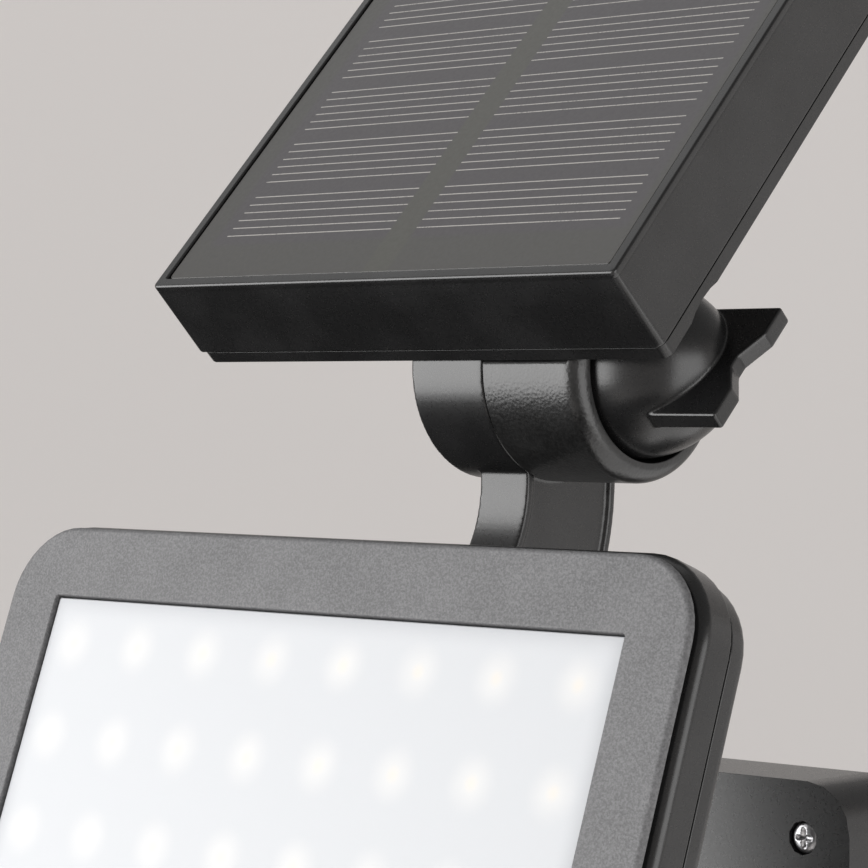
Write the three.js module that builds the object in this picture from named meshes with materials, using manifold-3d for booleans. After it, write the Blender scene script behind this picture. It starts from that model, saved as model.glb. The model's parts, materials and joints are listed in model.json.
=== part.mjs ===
// Solar flood light: a lamp head on a wall post, with an elbow arm that carries a tilting solar panel.
// Millimetres, +Z up, front towards -Y. The origin is the middle of the wall plate's rear face.
import * as THREE from 'three';
import { mergeVertices } from 'three/addons/utils/BufferGeometryUtils.js';
import Module from 'manifold-3d';

const wasm = await Module();
wasm.setup();

// Fits shared by all pieces
const gap = 0.3;              // between two pieces that seat on each other
const boreFit = 0.3;          // round a shaft or a screw, on the radius
const turnFit = 0.35;         // round a piece that turns in a pocket
const join = 0.4;             // how far two volumes of one piece run into each other
const past = 1;               // how far a cutting tool runs past the face it opens

// Sides of round shapes
const largeRound = 36;
const smallRound = 16;
const screwRound = 10;
const shankRound = 8;
const hexagon = 6;

// Lamp head
const headWidth = 164.6;
const headHeight = 137;
const headCorner = 14;
const headLean = 19.8;        // degrees that the face is tipped up
const sideBorder = 13;
const topBorder = 13.4;
const windowHeight = 88;
const windowCorner = 0.6;
const bezelEdge = 1.2;
const bezelPlate = 2.5;
const bezelRim = 1.5;
const bezelRimWall = 2;
const grooveWidth = 1;
const bodyFlare = 1.1;        // how far the body ring stands out past the bezel
const bodyDepth = 7.4;
const bodyWall = 2.4;
const sealThickness = 0.8;
const sealWidth = 1.5;
const rearSide = 5;
const rearRound = 3;
const rearWall = 2.4;
const bossRadius = 3.4;
const bossWeb = 3;
const bossInset = 7.3;
const cornerBossInset = 9.5;
const lensRecess = 0.8;
const lensFlange = 1.2;
const lensLip = 2.4;
const gasketThickness = 1;
const gasketMargin = 0.5;     // how far the gasket stays inside the lens flange
const gasketLap = 0.8;        // how far it reaches in past the window's edge
const ledColumns = 8;
const ledRows = 5;
const ledPitch = 17.6;
const ledTop = 8.8;
const chipWidth = 3.5;
const chipHeight = 2.8;
const chipProud = 0.8;
const boardSide = 1.3;        // between the LED board and the window, across
const boardEnd = 2;           // and along
const boardThickness = 1.6;
const heatPlateThickness = 1.5;

// Battery bay on the back of the head
const bayWidth = 92;
const bayHeight = 54;
const bayDepth = 15;
const bayCorner = 6;
const bayRound = 2;
const bayWall = 2.2;
const cellRadius = 9.15;
const cellLength = 65.2;
const cellSpacing = 0.8;
const terminalRadius = 2.8;
const terminalLength = 1;
const holderWall = 1.6;
const holderDepth = 12;

// Controller board inside the rear housing, and what stands on it
const controllerLeft = -66;
const controllerWidth = 52;
const controllerHeight = 36;
const controllerDrop = 4;     // below the bezel's top border
const controllerClear = 1.5;
const controllerParts = [     // across, down, width, height and thickness
  [6, 18, 12, 12, 1], [26, 20, 6, 8, 1.2], [38, 6, 10, 6, 1.2]];

// Motion sensor in the lower border
const sensorRadius = 11;
const sensorBulge = 7;
const sensorShell = 1;
const sensorUp = 17.45;
const canRadius = 4.6;
const canLength = 3.4;
const sensorFlange = 2;
const sensorBoardWidth = 30;
const sensorBoardHeight = 22;

// Mode button under the battery bay
const buttonRadius = 5;
const buttonProud = 1.2;
const buttonTravel = 0.8;
const buttonAcross = 30;
const buttonFlange = 1;
const buttonFlangeThickness = 0.8;
const switchWidth = 6;

// Wall post and its clamp
const postReach = 106;
const lugRadius = 14;
const lugHalf = 9;
const earThickness = 8;
const earClear = 1.4;
const pivotDrop = 85;         // from the top of the head down to the clamp axis
const baseWidth = 72;
const baseHeight = 94;
const baseDepth = 19.6;
const baseCorner = 10;
const baseWall = 2.6;
const plateThickness = 3;
const plateMargin = 2.4;
const plateScrewInset = 6;
const wallHoleRadius = 2.75;
const wallHoleAcross = 12.4;  // from the middle of the plate
const wallHoleUp = 28.6;
const baseBossRadius = 4.5;
const baseProud = 0.4;        // how far the wall plate stands past the base's rim
const postRoot = 22;
const postPocket = 5;
const postRim = 4;

// Knuckle between the arm and the panel
const kneeRise = 41.95;       // from the top of the head up to the panel axis
const kneeBehind = 29.05;     // from the bezel face back to the panel axis
const knuckleRadius = 20;
const knuckleLength = 17.2;
const seamX = 14.65;
const bracketSwell = 0.3;
const barrelLength = 17.4;
const neckLength = 3;
const neckDepth = 0.4;
const lipLength = 3.8;
const cupRadius = 16.5;
const cupDepth = 9;
const frictionRadius = 11;
const frictionThickness = 2;
const frictionClear = 2;      // round the bolt's own bore
const bracketScrewOut = 5;    // from the middle of the barrel
const screwBite = 7;          // how deep a small screw goes into its plastic

// Elbow arm
const armWidth = 11.6;
const armFront = 7.9;
const armBack = 16.4;
const armStraight = 20;
const armBend = 24;           // radius of the front edge
const armRim = 1.9;
const armRecess = 0.9;
const armTurn = 104;          // degrees of the bend
const footWidth = 31;
const footHeight = 36;
const footCorner = 4;
const footThickness = 3.2;
const footDrop = 22.5;        // from the top of the head down to the middle of the foot
const footSealThickness = 1;
const footScrewInset = 4.5;

// Solar panel
const panelTilt = 46.3;
const panelWidth = 112.4;
const panelDepth = 114;
const panelShift = 1.2;
const panelCorner = 0.8;
const frameHeight = 17.3;
const frameDraft = 0.5;
const frameWall = 2.2;
const rimDepth = 0.4;
const laminateThickness = 1.8;
const ledgeWidth = 3.8;
const ledgeThickness = 2;
const panelSealThickness = 0.6;
const underside = 15.6;       // from the panel axis up to the underside of the back cover
const coverHeight = 2.6;
const coverInset = 0.5;
const coverFloor = 2.2;
const coverSpigot = 2.8;
const edgeLip = 0.13;
const archWall = 2;
const panelBossInset = 9;
const terminalBoxWidth = 30;
const terminalBoxHeight = 20;
const terminalBoxDepth = 7;
const terminalBoxForward = 10;
const spigotWall = 1.8;

// Clamp hardware
const boltRadius = 3;
const boltHeadCorner = 5.75;
const boltHeadThickness = 4;
const nutThickness = 5;
const capRadius = 8;
const capThickness = 1.7;
const washerRadius = 8.5;
const washerThickness = 1;
const knobRadius = 16;
const knobLength = 19.1;
const knobStart = 1.5;
const knobClear = 0.4;        // between the wing knob and the back cover, on the radius
const knobFloor = 3;          // plastic left over the bolt's end
const wingThickness = 3.2;
const wingSpan = 13.1;
const wingReach = 27;
const wingRoot = 5;
const wingNotch = 3;          // how deep the outer edge dips between the two wings
const lowerKnobScale = 0.78;
const knobLean = 45;          // degrees of the wings from upright

// Screws
const screwRadius = 1.5;
const screwHeadRadius = 3;
const screwHeadThickness = 2;

// Derived places, in the frame of the head: the clamp axis is the origin, the face looks along -Y
const midDepth = bezelEdge + grooveWidth + bodyDepth;
const sealFront = midDepth + gap;
const rearFront = sealFront + sealThickness + gap;
const rearBack = rearFront + rearSide;
const bayBack = rearBack + bayDepth;
const faceY = -(bayBack + earClear + lugRadius);
const headTop = pivotDrop;
const headBottom = headTop - headHeight;
const headMiddle = (headTop + headBottom) / 2;
const kneeY = faceY + kneeBehind;
const kneeZ = headTop + kneeRise;
const windowWidth = headWidth - 2 * sideBorder;
const windowMiddle = headTop - topBorder - windowHeight / 2;
const depthAt = (behindFace) => faceY + behindFace;
const buttonY = depthAt(rearBack + (bayDepth - bayWall) / 2);

// Derived places, in the frame of the panel: the panel axis is the origin, Z is square to the glass
const pocketRadius = knuckleRadius + turnFit;
const coverFront = -(Math.sqrt(pocketRadius ** 2 - underside ** 2) + edgeLip);
const frameBottom = underside + coverHeight + gap;
const frameTop = frameBottom + frameHeight;
const frameFront = coverFront - coverInset + frameDraft;
const panelMiddle = frameFront + panelDepth / 2;
const coverWidth = panelWidth + 2 * (frameDraft - coverInset);
const coverDepth = panelDepth + 2 * (frameDraft - coverInset);
const knuckleLeft = seamX - knuckleLength;
const bracketLeft = seamX + gap;
const spigotTop = underside + coverHeight + coverSpigot;
const cupFloor = bracketLeft + barrelLength + neckLength + lipLength - cupDepth;
const upperKnobX = cupFloor + gap + washerThickness + gap;
const earInner = lugHalf + 1.5 * gap;
const earOuter = earInner + earThickness;
const lowerKnobX = earOuter + gap + washerThickness + gap;
const capSeat = knuckleLeft + capThickness + gap;
const bracketScrewX = bracketLeft + barrelLength / 2;

// Looks
const look = (color, roughness, metalness = 0) => new THREE.MeshStandardMaterial(
  { color, roughness, metalness });
const looks = {
  satinBlack: () => look(0x232323, 0.45),
  fineGrain: () => look(0x55565a, 0.7),
  coarseGrain: () => look(0x262626, 0.6),
  frosted: () => look(0xf1f3f5, 0.5),
  glass: () => look(0x37363a, 0.35),
  rubber: () => look(0x141414, 0.85),
  steel: () => look(0xb9bbbd, 0.35, 1),
  aluminium: () => look(0xc4c6c8, 0.5, 1),
  boardWhite: () => look(0xe9ebe6, 0.5),
  boardGreen: () => look(0x1f6b3a, 0.5),
  cell: () => look(0x2f6fb0, 0.4),
  milky: () => look(0xe6e8ea, 0.4),
};

// Geometry to solid and back
function solid(geometry) {
  const bare = geometry.clone();
  bare.deleteAttribute('normal');
  bare.deleteAttribute('uv');
  const merged = mergeVertices(bare, 1e-4);
  return new wasm.Manifold(new wasm.Mesh({
    numProp: 3,
    vertProperties: new Float32Array(merged.attributes.position.array),
    triVerts: new Uint32Array(merged.index.array),
  }));
}

function addPiece(group, name, body, material) {
  const mesh = body.getMesh();
  const geometry = new THREE.BufferGeometry();
  geometry.setAttribute('position', new THREE.BufferAttribute(new Float32Array(mesh.vertProperties), 3));
  geometry.setIndex(new THREE.BufferAttribute(new Uint32Array(mesh.triVerts), 1));
  geometry.computeVertexNormals();
  const piece = new THREE.Mesh(geometry, material);
  piece.name = name;
  group.add(piece);
  return piece;
}

const unite = (...bodies) => bodies.reduce((whole, body) => whole.add(body));
const cut = (body, ...tools) => tools.reduce((whole, tool) => whole.subtract(tool), body);

// Outlines
function roundedRect(width, height, corner, cx = 0, cy = 0, steps = 4) {
  const shape = new THREE.Shape();
  const [w, h, r] = [width / 2, height / 2, Math.min(corner, width / 2, height / 2)];
  const centres = [[w - r, h - r], [r - w, h - r], [r - w, r - h], [w - r, r - h]];
  const points = centres.flatMap(([x, y], quarter) => Array.from({ length: steps + 1 }, (_, step) => {
    const angle = (quarter + step / steps) * Math.PI / 2;
    return new THREE.Vector2(cx + x + r * Math.cos(angle), cy + y + r * Math.sin(angle));
  }));
  return shape.setFromPoints(points);
}

const polygon = (points) => new THREE.Shape(points.map(([x, y]) => new THREE.Vector2(x, y)));
const extrude = (shape, depth) => new THREE.ExtrudeGeometry(
  shape, { depth, bevelEnabled: false, curveSegments: 1 });

// Extrusions along the three axes; slabX takes its outline in (y, z), slabY in (x, z), slabZ in (x, y)
function slabX(shape, x0, x1) {
  const turn = new THREE.Matrix4().makeBasis(
    new THREE.Vector3(0, 1, 0), new THREE.Vector3(0, 0, 1), new THREE.Vector3(1, 0, 0));
  return extrude(shape, x1 - x0).applyMatrix4(turn).translate(x0, 0, 0);
}
const slabY = (shape, y0, y1) => extrude(shape, y1 - y0).rotateX(Math.PI / 2).translate(0, y1, 0);
const slabZ = (shape, z0, z1) => extrude(shape, z1 - z0).translate(0, 0, z0);

// A slab along Y whose far edge is rounded
function roundedBackSlab(shapeOf, y0, y1, round, steps = 2) {
  const layers = [slabY(shapeOf(0), y0, y1 - round)];
  for (let step = 1; step <= steps; step += 1) {
    const angle = (step / steps) * Math.PI / 2;
    const near = y1 - round + (step === 1 ? 0 : round * Math.sin(((step - 1) / steps) * Math.PI / 2));
    const inset = round * (1 - Math.cos(angle - Math.PI / 4 / steps));
    layers.push(slabY(shapeOf(inset), near - join, y1 - round + round * Math.sin(angle)));
  }
  return unite(...layers.map(solid));
}

// Rods along the three axes
function rodX(radius, x0, x1, y = 0, z = 0, sides = smallRound) {
  const rod = new THREE.CylinderGeometry(radius, radius, x1 - x0, sides);
  return rod.rotateZ(-Math.PI / 2).translate((x0 + x1) / 2, y, z);
}
function rodY(radius, y0, y1, x = 0, z = 0, sides = screwRound) {
  return new THREE.CylinderGeometry(radius, radius, y1 - y0, sides).translate(x, (y0 + y1) / 2, z);
}
function rodZ(radius, z0, z1, x = 0, y = 0, sides = screwRound) {
  const rod = new THREE.CylinderGeometry(radius, radius, z1 - z0, sides);
  return rod.rotateX(Math.PI / 2).translate(x, y, (z0 + z1) / 2);
}
function box(x0, x1, y0, y1, z0, z1) {
  return new THREE.BoxGeometry(x1 - x0, y1 - y0, z1 - z0)
    .translate((x0 + x1) / 2, (y0 + y1) / 2, (z0 + z1) / 2);
}
const mirrored = [-1, 1];
const corners = mirrored.flatMap((sx) => mirrored.map((sz) => [sx, sz]));
const ordered = (a, b) => [Math.min(a, b), Math.max(a, b)];
const degrees = THREE.MathUtils.degToRad;

// A body turned about the X axis, from profile points (x, radius) listed with x rising along the outside
function turnedX(points, sides) {
  const profile = points.map(([x, radius]) => new THREE.Vector2(radius, x));
  return new THREE.LatheGeometry(profile, sides).rotateZ(-Math.PI / 2);
}

// Screws: the head seats at `seat` and the shank runs on for `length`; direction is +1 or -1 along the axis
function screwY(x, z, seat, length, direction) {
  const head = rodY(screwHeadRadius, ...ordered(seat, seat - direction * screwHeadThickness), x, z);
  const shank = rodY(
    screwRadius, ...ordered(seat - direction * join, seat + direction * length), x, z, shankRound);
  return unite(solid(head), solid(shank));
}
function screwZ(x, y, seat, length, direction) {
  const head = rodZ(screwHeadRadius, ...ordered(seat, seat - direction * screwHeadThickness), x, y);
  const shank = rodZ(
    screwRadius, ...ordered(seat - direction * join, seat + direction * length), x, y, shankRound);
  return unite(solid(head), solid(shank));
}

// Clearance holes for the small screws
const screwHoleY = (x, z, y0, y1) => solid(rodY(screwRadius + boreFit, y0, y1, x, z, shankRound));
const screwHoleZ = (x, y, z0, z1) => solid(rodZ(screwRadius + boreFit, z0, z1, x, y, shankRound));

const light = new THREE.Group();
const head = new THREE.Group();
head.position.set(0, -postReach, 0);
head.rotation.x = -degrees(headLean);
light.add(head);
const panel = new THREE.Group();
panel.position.set(0, kneeY, kneeZ);
panel.rotation.x = degrees(headLean + panelTilt);
head.add(panel);

// Wall plate, hollow base with its post, and the screws between them
function buildWallPost() {
  const plateWidth = baseWidth - 2 * (baseWall + plateMargin);
  const plateHeight = baseHeight - 2 * (baseWall + plateMargin);
  const rimY = -baseProud;
  const frontY = rimY - baseDepth;
  const screwAt = corners.map(([sx, sz]) => [
    sx * (plateWidth / 2 - plateScrewInset), sz * (plateHeight / 2 - plateScrewInset)]);
  const plateCorner = baseCorner - baseWall - plateMargin;

  const plate = cut(
    solid(slabY(roundedRect(plateWidth, plateHeight, plateCorner), -plateThickness, 0)),
    ...corners.map(([sx, sz]) => solid(
      rodY(wallHoleRadius, -plateThickness - past, past, sx * wallHoleAcross, sz * wallHoleUp))),
    ...screwAt.map(([x, z]) => screwHoleY(x, z, -plateThickness - past, past)));
  addPiece(light, 'wall_plate', plate, looks.steel());

  const baseOutline = (inset) => roundedRect(
    baseWidth - 2 * inset, baseHeight - 2 * inset, baseCorner - inset);
  const shell = cut(
    solid(slabY(baseOutline(0), frontY, rimY)),
    solid(slabY(baseOutline(baseWall), frontY + baseWall, rimY + past)));
  const postEnd = frontY + join;
  const side = polygon([
    [-postReach, lugRadius], [-postReach, -lugRadius], [postEnd, -postRoot], [postEnd, postRoot]]);
  const slope = (postRoot - lugRadius) / (postEnd + postReach);
  const pocketStart = -postReach + lugRadius + postRim;
  const pocketEnd = postEnd - postRim;
  const pocketHalf = (y) => lugRadius + slope * (y + postReach) - postRim;
  const pocket = polygon([
    [pocketStart, pocketHalf(pocketStart)], [pocketStart, -pocketHalf(pocketStart)],
    [pocketEnd, -pocketHalf(pocketEnd)], [pocketEnd, pocketHalf(pocketEnd)]]);
  const solidBase = unite(shell,
    solid(slabX(side, -lugHalf, lugHalf)),
    solid(rodX(lugRadius, -lugHalf, lugHalf, -postReach, 0, largeRound)),
    ...screwAt.map(([x, z]) => solid(rodY(baseBossRadius, frontY + join, -plateThickness - gap, x, z))));
  const screwSeat = frontY + screwHeadThickness + gap;
  const ringSeat = lugHalf - frictionThickness / 2 - gap;
  const base = cut(solidBase,
    ...mirrored.flatMap((sx) => [
      solid(slabX(pocket, ...ordered(sx * (lugHalf - postPocket), sx * (lugHalf + past)))),
      solid(rodX(
        frictionRadius + boreFit, ...ordered(sx * ringSeat, sx * (lugHalf + past)), -postReach, 0))]),
    solid(rodX(boltRadius + boreFit, -lugHalf - past, lugHalf + past, -postReach, 0)),
    ...screwAt.flatMap(([x, z]) => [
      screwHoleY(x, z, frontY - past, past),
      solid(rodY(screwHeadRadius + boreFit, frontY - past, screwSeat + gap, x, z))]));
  addPiece(light, 'wall_base', base, looks.satinBlack());
  screwAt.forEach(([x, z], index) => {
    const screw = screwY(x, z, screwSeat, -plateThickness / 3 - screwSeat, 1);
    addPiece(light, `base_screw_${index + 1}`, screw, looks.steel());
  });
}

const headOutline = (inset) => roundedRect(
  headWidth - 2 * inset, headHeight - 2 * inset, headCorner - inset, 0, headMiddle);
const windowOutline = (grow, corner) => roundedRect(
  windowWidth + 2 * grow, windowHeight + 2 * grow, corner, 0, windowMiddle, 2);

// Bezel with its lens window and sensor hole, and the lens behind it
function buildFront() {
  const bodyInset = bodyWall - bodyFlare + gap;
  const rimBack = bezelPlate + bezelRim;
  const rim = cut(
    solid(slabY(headOutline(bodyInset), depthAt(bezelPlate - join), depthAt(rimBack))),
    solid(slabY(headOutline(bodyInset + bezelRimWall), depthAt(bezelPlate - past), depthAt(rimBack + past))));
  const bezel = cut(
    unite(
      solid(slabY(headOutline(0), depthAt(0), depthAt(bezelEdge))),
      solid(slabY(headOutline(bodyInset), depthAt(bezelEdge - join), depthAt(bezelPlate))),
      rim),
    solid(slabY(windowOutline(0, windowCorner), depthAt(-past), depthAt(bezelPlate + past))),
    solid(rodY(
      sensorRadius + boreFit, depthAt(-past), depthAt(bezelPlate + past),
      0, headBottom + sensorUp, smallRound)));
  addPiece(head, 'front_bezel', bezel, looks.fineGrain());

  const flangeFront = bezelPlate + gap;
  const lens = unite(
    solid(slabY(windowOutline(-gap, windowCorner), depthAt(lensRecess), depthAt(flangeFront + join))),
    solid(slabY(windowOutline(lensLip, lensLip), depthAt(flangeFront), depthAt(flangeFront + lensFlange))));
  addPiece(head, 'diffuser_lens', lens, looks.frosted());
}

function housingScrewPlaces() {
  const across = headWidth / 2 - bossInset;
  return mirrored.flatMap((sx) => [
    [sx * across, headTop - cornerBossInset],
    [sx * across, headMiddle],
    [sx * across, headBottom + cornerBossInset]]);
}

// Body ring, seal, rear housing with its battery bay and clamp ears, and the six screws
function buildBody() {
  const ringFront = bezelEdge + grooveWidth;
  const bossFront = bezelPlate + bezelRim + 2 * gap;
  const places = housingScrewPlaces();
  const ringWall = cut(
    solid(slabY(headOutline(-bodyFlare), depthAt(ringFront), depthAt(midDepth))),
    solid(slabY(headOutline(bodyWall - bodyFlare), depthAt(ringFront - past), depthAt(midDepth + past))));
  const bosses = places.flatMap(([x, z]) => {
    const wallX = Math.sign(x) * (headWidth / 2 - join);
    return [
      solid(rodY(bossRadius, depthAt(bossFront), depthAt(midDepth), x, z)),
      solid(box(
        ...ordered(x, wallX), depthAt(bossFront), depthAt(midDepth), z - bossWeb / 2, z + bossWeb / 2))];
  });
  const ring = cut(unite(ringWall, ...bosses),
    ...places.map(([x, z]) => screwHoleY(x, z, depthAt(0), depthAt(midDepth + past))));
  addPiece(head, 'body_ring', ring, looks.satinBlack());

  const sealInset = rearWall / 2;
  const sealBack = sealFront + sealThickness;
  const seal = cut(
    solid(slabY(headOutline(sealInset), depthAt(sealFront), depthAt(sealBack))),
    solid(slabY(headOutline(sealInset + sealWidth), depthAt(sealFront - past), depthAt(sealBack + past))));
  addPiece(head, 'housing_seal', seal, looks.rubber());

  const bayOutline = (inset) => roundedRect(bayWidth - 2 * inset, bayHeight - 2 * inset, bayCorner - inset);
  const earRoot = depthAt(bayBack - bayWall / 2);
  const earShape = polygon([
    [earRoot, -lugRadius], [0, -lugRadius], [0, lugRadius], [earRoot, lugRadius]]);
  const ears = mirrored.flatMap((sx) => {
    const ends = ordered(sx * earInner, sx * earOuter);
    return [solid(slabX(earShape, ...ends)), solid(rodX(lugRadius, ...ends, 0, 0, largeRound))];
  });
  const rear = cut(
    unite(
      roundedBackSlab(headOutline, depthAt(rearFront), depthAt(rearBack), rearRound),
      roundedBackSlab(bayOutline, depthAt(rearBack - rearWall), depthAt(bayBack), bayRound),
      ...ears),
    solid(slabY(headOutline(rearWall), depthAt(rearFront - past), depthAt(rearBack - rearWall))),
    solid(slabY(bayOutline(bayWall), depthAt(rearFront), depthAt(bayBack - bayWall))),
    solid(rodX(boltRadius + boreFit, -earOuter - past, earOuter + past)),
    solid(rodX(
      boltHeadCorner + boreFit, -earOuter - past, -earOuter + boltHeadThickness + gap, 0, 0, hexagon)),
    solid(rodZ(
      buttonRadius + boreFit, -bayHeight / 2 - past, -bayHeight / 2 + bayWall + past,
      buttonAcross, buttonY, smallRound)),
    ...[...places, ...footScrewPlaces()].map(([x, z]) => screwHoleY(
      x, z, depthAt(rearFront), depthAt(rearBack + past))));
  addPiece(head, 'rear_housing', rear, looks.satinBlack());

  places.forEach(([x, z], index) => {
    const seat = depthAt(rearBack + gap);
    const screw = screwY(x, z, seat, seat - depthAt(bossFront + past), -1);
    addPiece(head, `housing_screw_${index + 1}`, screw, looks.steel());
  });
}

// Lens gasket, LED board and the plate behind it
function buildOptics() {
  const gasketFront = bezelPlate + gap + lensFlange + gap;
  const gasketBack = gasketFront + gasketThickness;
  const boardFront = gasketBack + gap;
  const plateFront = boardFront + boardThickness + gap;
  const gasket = cut(
    solid(slabY(windowOutline(lensLip - gasketMargin, lensLip), depthAt(gasketFront), depthAt(gasketBack))),
    solid(slabY(
      windowOutline(-gasketLap, windowCorner), depthAt(gasketFront - past), depthAt(gasketBack + past))));
  addPiece(head, 'lens_gasket', gasket, looks.rubber());

  const boardShape = roundedRect(
    windowWidth - 2 * boardSide, windowHeight - 2 * boardEnd, 1, 0, windowMiddle, 1);
  const chips = [];
  const rowPitch = (windowHeight - 2 * ledTop) / (ledRows - 1);
  for (let row = 0; row < ledRows; row += 1) {
    for (let column = 0; column < ledColumns; column += 1) {
      const x = (column - (ledColumns - 1) / 2) * ledPitch;
      const z = windowMiddle + windowHeight / 2 - ledTop - row * rowPitch;
      chips.push(solid(box(
        x - chipWidth / 2, x + chipWidth / 2, depthAt(boardFront - chipProud), depthAt(boardFront + join),
        z - chipHeight / 2, z + chipHeight / 2)));
    }
  }
  const board = solid(slabY(boardShape, depthAt(boardFront), depthAt(boardFront + boardThickness)));
  addPiece(head, 'led_board', unite(board, ...chips), looks.boardWhite());
  const heatPlate = slabY(
    windowOutline(boardEnd / 2, lensLip), depthAt(plateFront), depthAt(plateFront + heatPlateThickness));
  addPiece(head, 'heat_plate', solid(heatPlate), looks.aluminium());
}

// Battery cells and holder, controller board, mode switch and its button
function buildPower() {
  const insideBack = bayBack - bayWall;
  const cellY = depthAt(insideBack - 2 * gap - cellRadius);
  const cellEnd = cellLength / 2;
  mirrored.forEach((sz, index) => {
    const z = sz * (cellRadius + cellSpacing / 2);
    const cell = unite(
      solid(rodX(cellRadius, -cellEnd, cellEnd, cellY, z, largeRound)),
      solid(rodX(terminalRadius, cellEnd - join, cellEnd + terminalLength, cellY, z)));
    addPiece(head, `battery_cell_${index + 1}`, cell, looks.cell());
  });
  const holderInX = cellLength + 2 * terminalLength + 2 * gap;
  const holderInZ = 4 * cellRadius + cellSpacing + 2 * gap;
  const holderOutline = (grow) => roundedRect(holderInX + 2 * grow, holderInZ + 2 * grow, 1 + grow, 0, 0, 2);
  const holder = cut(
    solid(slabY(
      holderOutline(holderWall), depthAt(insideBack - gap - holderDepth), depthAt(insideBack - gap))),
    solid(slabY(holderOutline(0), depthAt(rearFront), depthAt(insideBack + past))));
  addPiece(head, 'battery_holder', holder, looks.satinBlack());

  const boardBack = depthAt(rearBack - rearWall - controllerClear);
  const boardTop = headTop - topBorder - controllerDrop;
  const controller = unite(
    solid(box(
      controllerLeft, controllerLeft + controllerWidth, boardBack - boardThickness, boardBack,
      boardTop - controllerHeight, boardTop)),
    ...controllerParts.map(([across, down, width, height, thickness]) => solid(box(
      controllerLeft + across, controllerLeft + across + width, boardBack - join, boardBack + thickness,
      boardTop - down - height, boardTop - down))));
  addPiece(head, 'controller_board', controller, looks.boardGreen());

  const bottom = -bayHeight / 2;
  const flangeZ = bottom + bayWall + gap;
  const flangeTop = flangeZ + buttonFlangeThickness;
  const button = unite(
    solid(rodZ(buttonRadius, bottom - buttonProud, flangeZ + join, buttonAcross, buttonY, smallRound)),
    solid(rodZ(buttonRadius + buttonFlange, flangeZ, flangeTop, buttonAcross, buttonY, smallRound)));
  addPiece(head, 'mode_button', button, looks.rubber());
  addPiece(head, 'mode_switch', solid(box(
    buttonAcross - switchWidth / 2, buttonAcross + switchWidth / 2,
    buttonY - switchWidth / 2, buttonY + switchWidth / 2,
    flangeTop + buttonTravel + gap, -holderInZ / 2 - holderWall - gap)), looks.steel());
}

// Sensor dome in the lower border, with the sensor can and its board behind it
function buildSensor() {
  const z = headBottom + sensorUp;
  const seat = bezelPlate + gap;
  const steps = 5;
  const arc = (radius, bulge) => Array.from({ length: steps + 1 }, (_, step) => {
    const angle = (step / steps) * Math.PI / 2;
    return new THREE.Vector2(radius * Math.sin(angle), bulge * Math.cos(angle));
  });
  const flangeRadius = sensorRadius + sensorFlange;
  const innerRadius = sensorRadius - sensorShell;
  const outer = arc(sensorRadius, sensorBulge + seat);
  const inner = arc(innerRadius, sensorBulge + seat - sensorShell).reverse();
  const flange = [[flangeRadius, 0], [flangeRadius, -sensorShell], [innerRadius, -sensorShell]]
    .map(([radius, height]) => new THREE.Vector2(radius, height));
  const profile = [...outer, ...flange, ...inner].reverse();
  const dome = new THREE.LatheGeometry(profile, smallRound).rotateX(Math.PI).translate(0, depthAt(seat), z);
  addPiece(head, 'sensor_dome', solid(dome), looks.milky());
  const canFront = depthAt(seat + sensorShell + gap);
  const boardFront = canFront + canLength + gap;
  addPiece(head, 'motion_sensor', solid(
    rodY(canRadius, canFront, canFront + canLength, 0, z, smallRound)), looks.steel());
  addPiece(head, 'sensor_board', solid(box(
    -sensorBoardWidth / 2, sensorBoardWidth / 2, boardFront, boardFront + boardThickness,
    z - sensorBoardHeight / 2, z + sensorBoardHeight / 2)), looks.boardGreen());
}

// The arm's foot, in front view, and its four screws
const footMiddleX = seamX - armWidth / 2;
const footMiddleZ = headTop - footDrop;
const footOutline = (inset) => roundedRect(
  footWidth - 2 * inset, footHeight - 2 * inset, footCorner - inset, footMiddleX, footMiddleZ, 3);

function footScrewPlaces() {
  return corners.map(([sx, sz]) => [
    footMiddleX + sx * (footWidth / 2 - footScrewInset),
    footMiddleZ + sz * (footHeight / 2 - footScrewInset)]);
}

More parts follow.
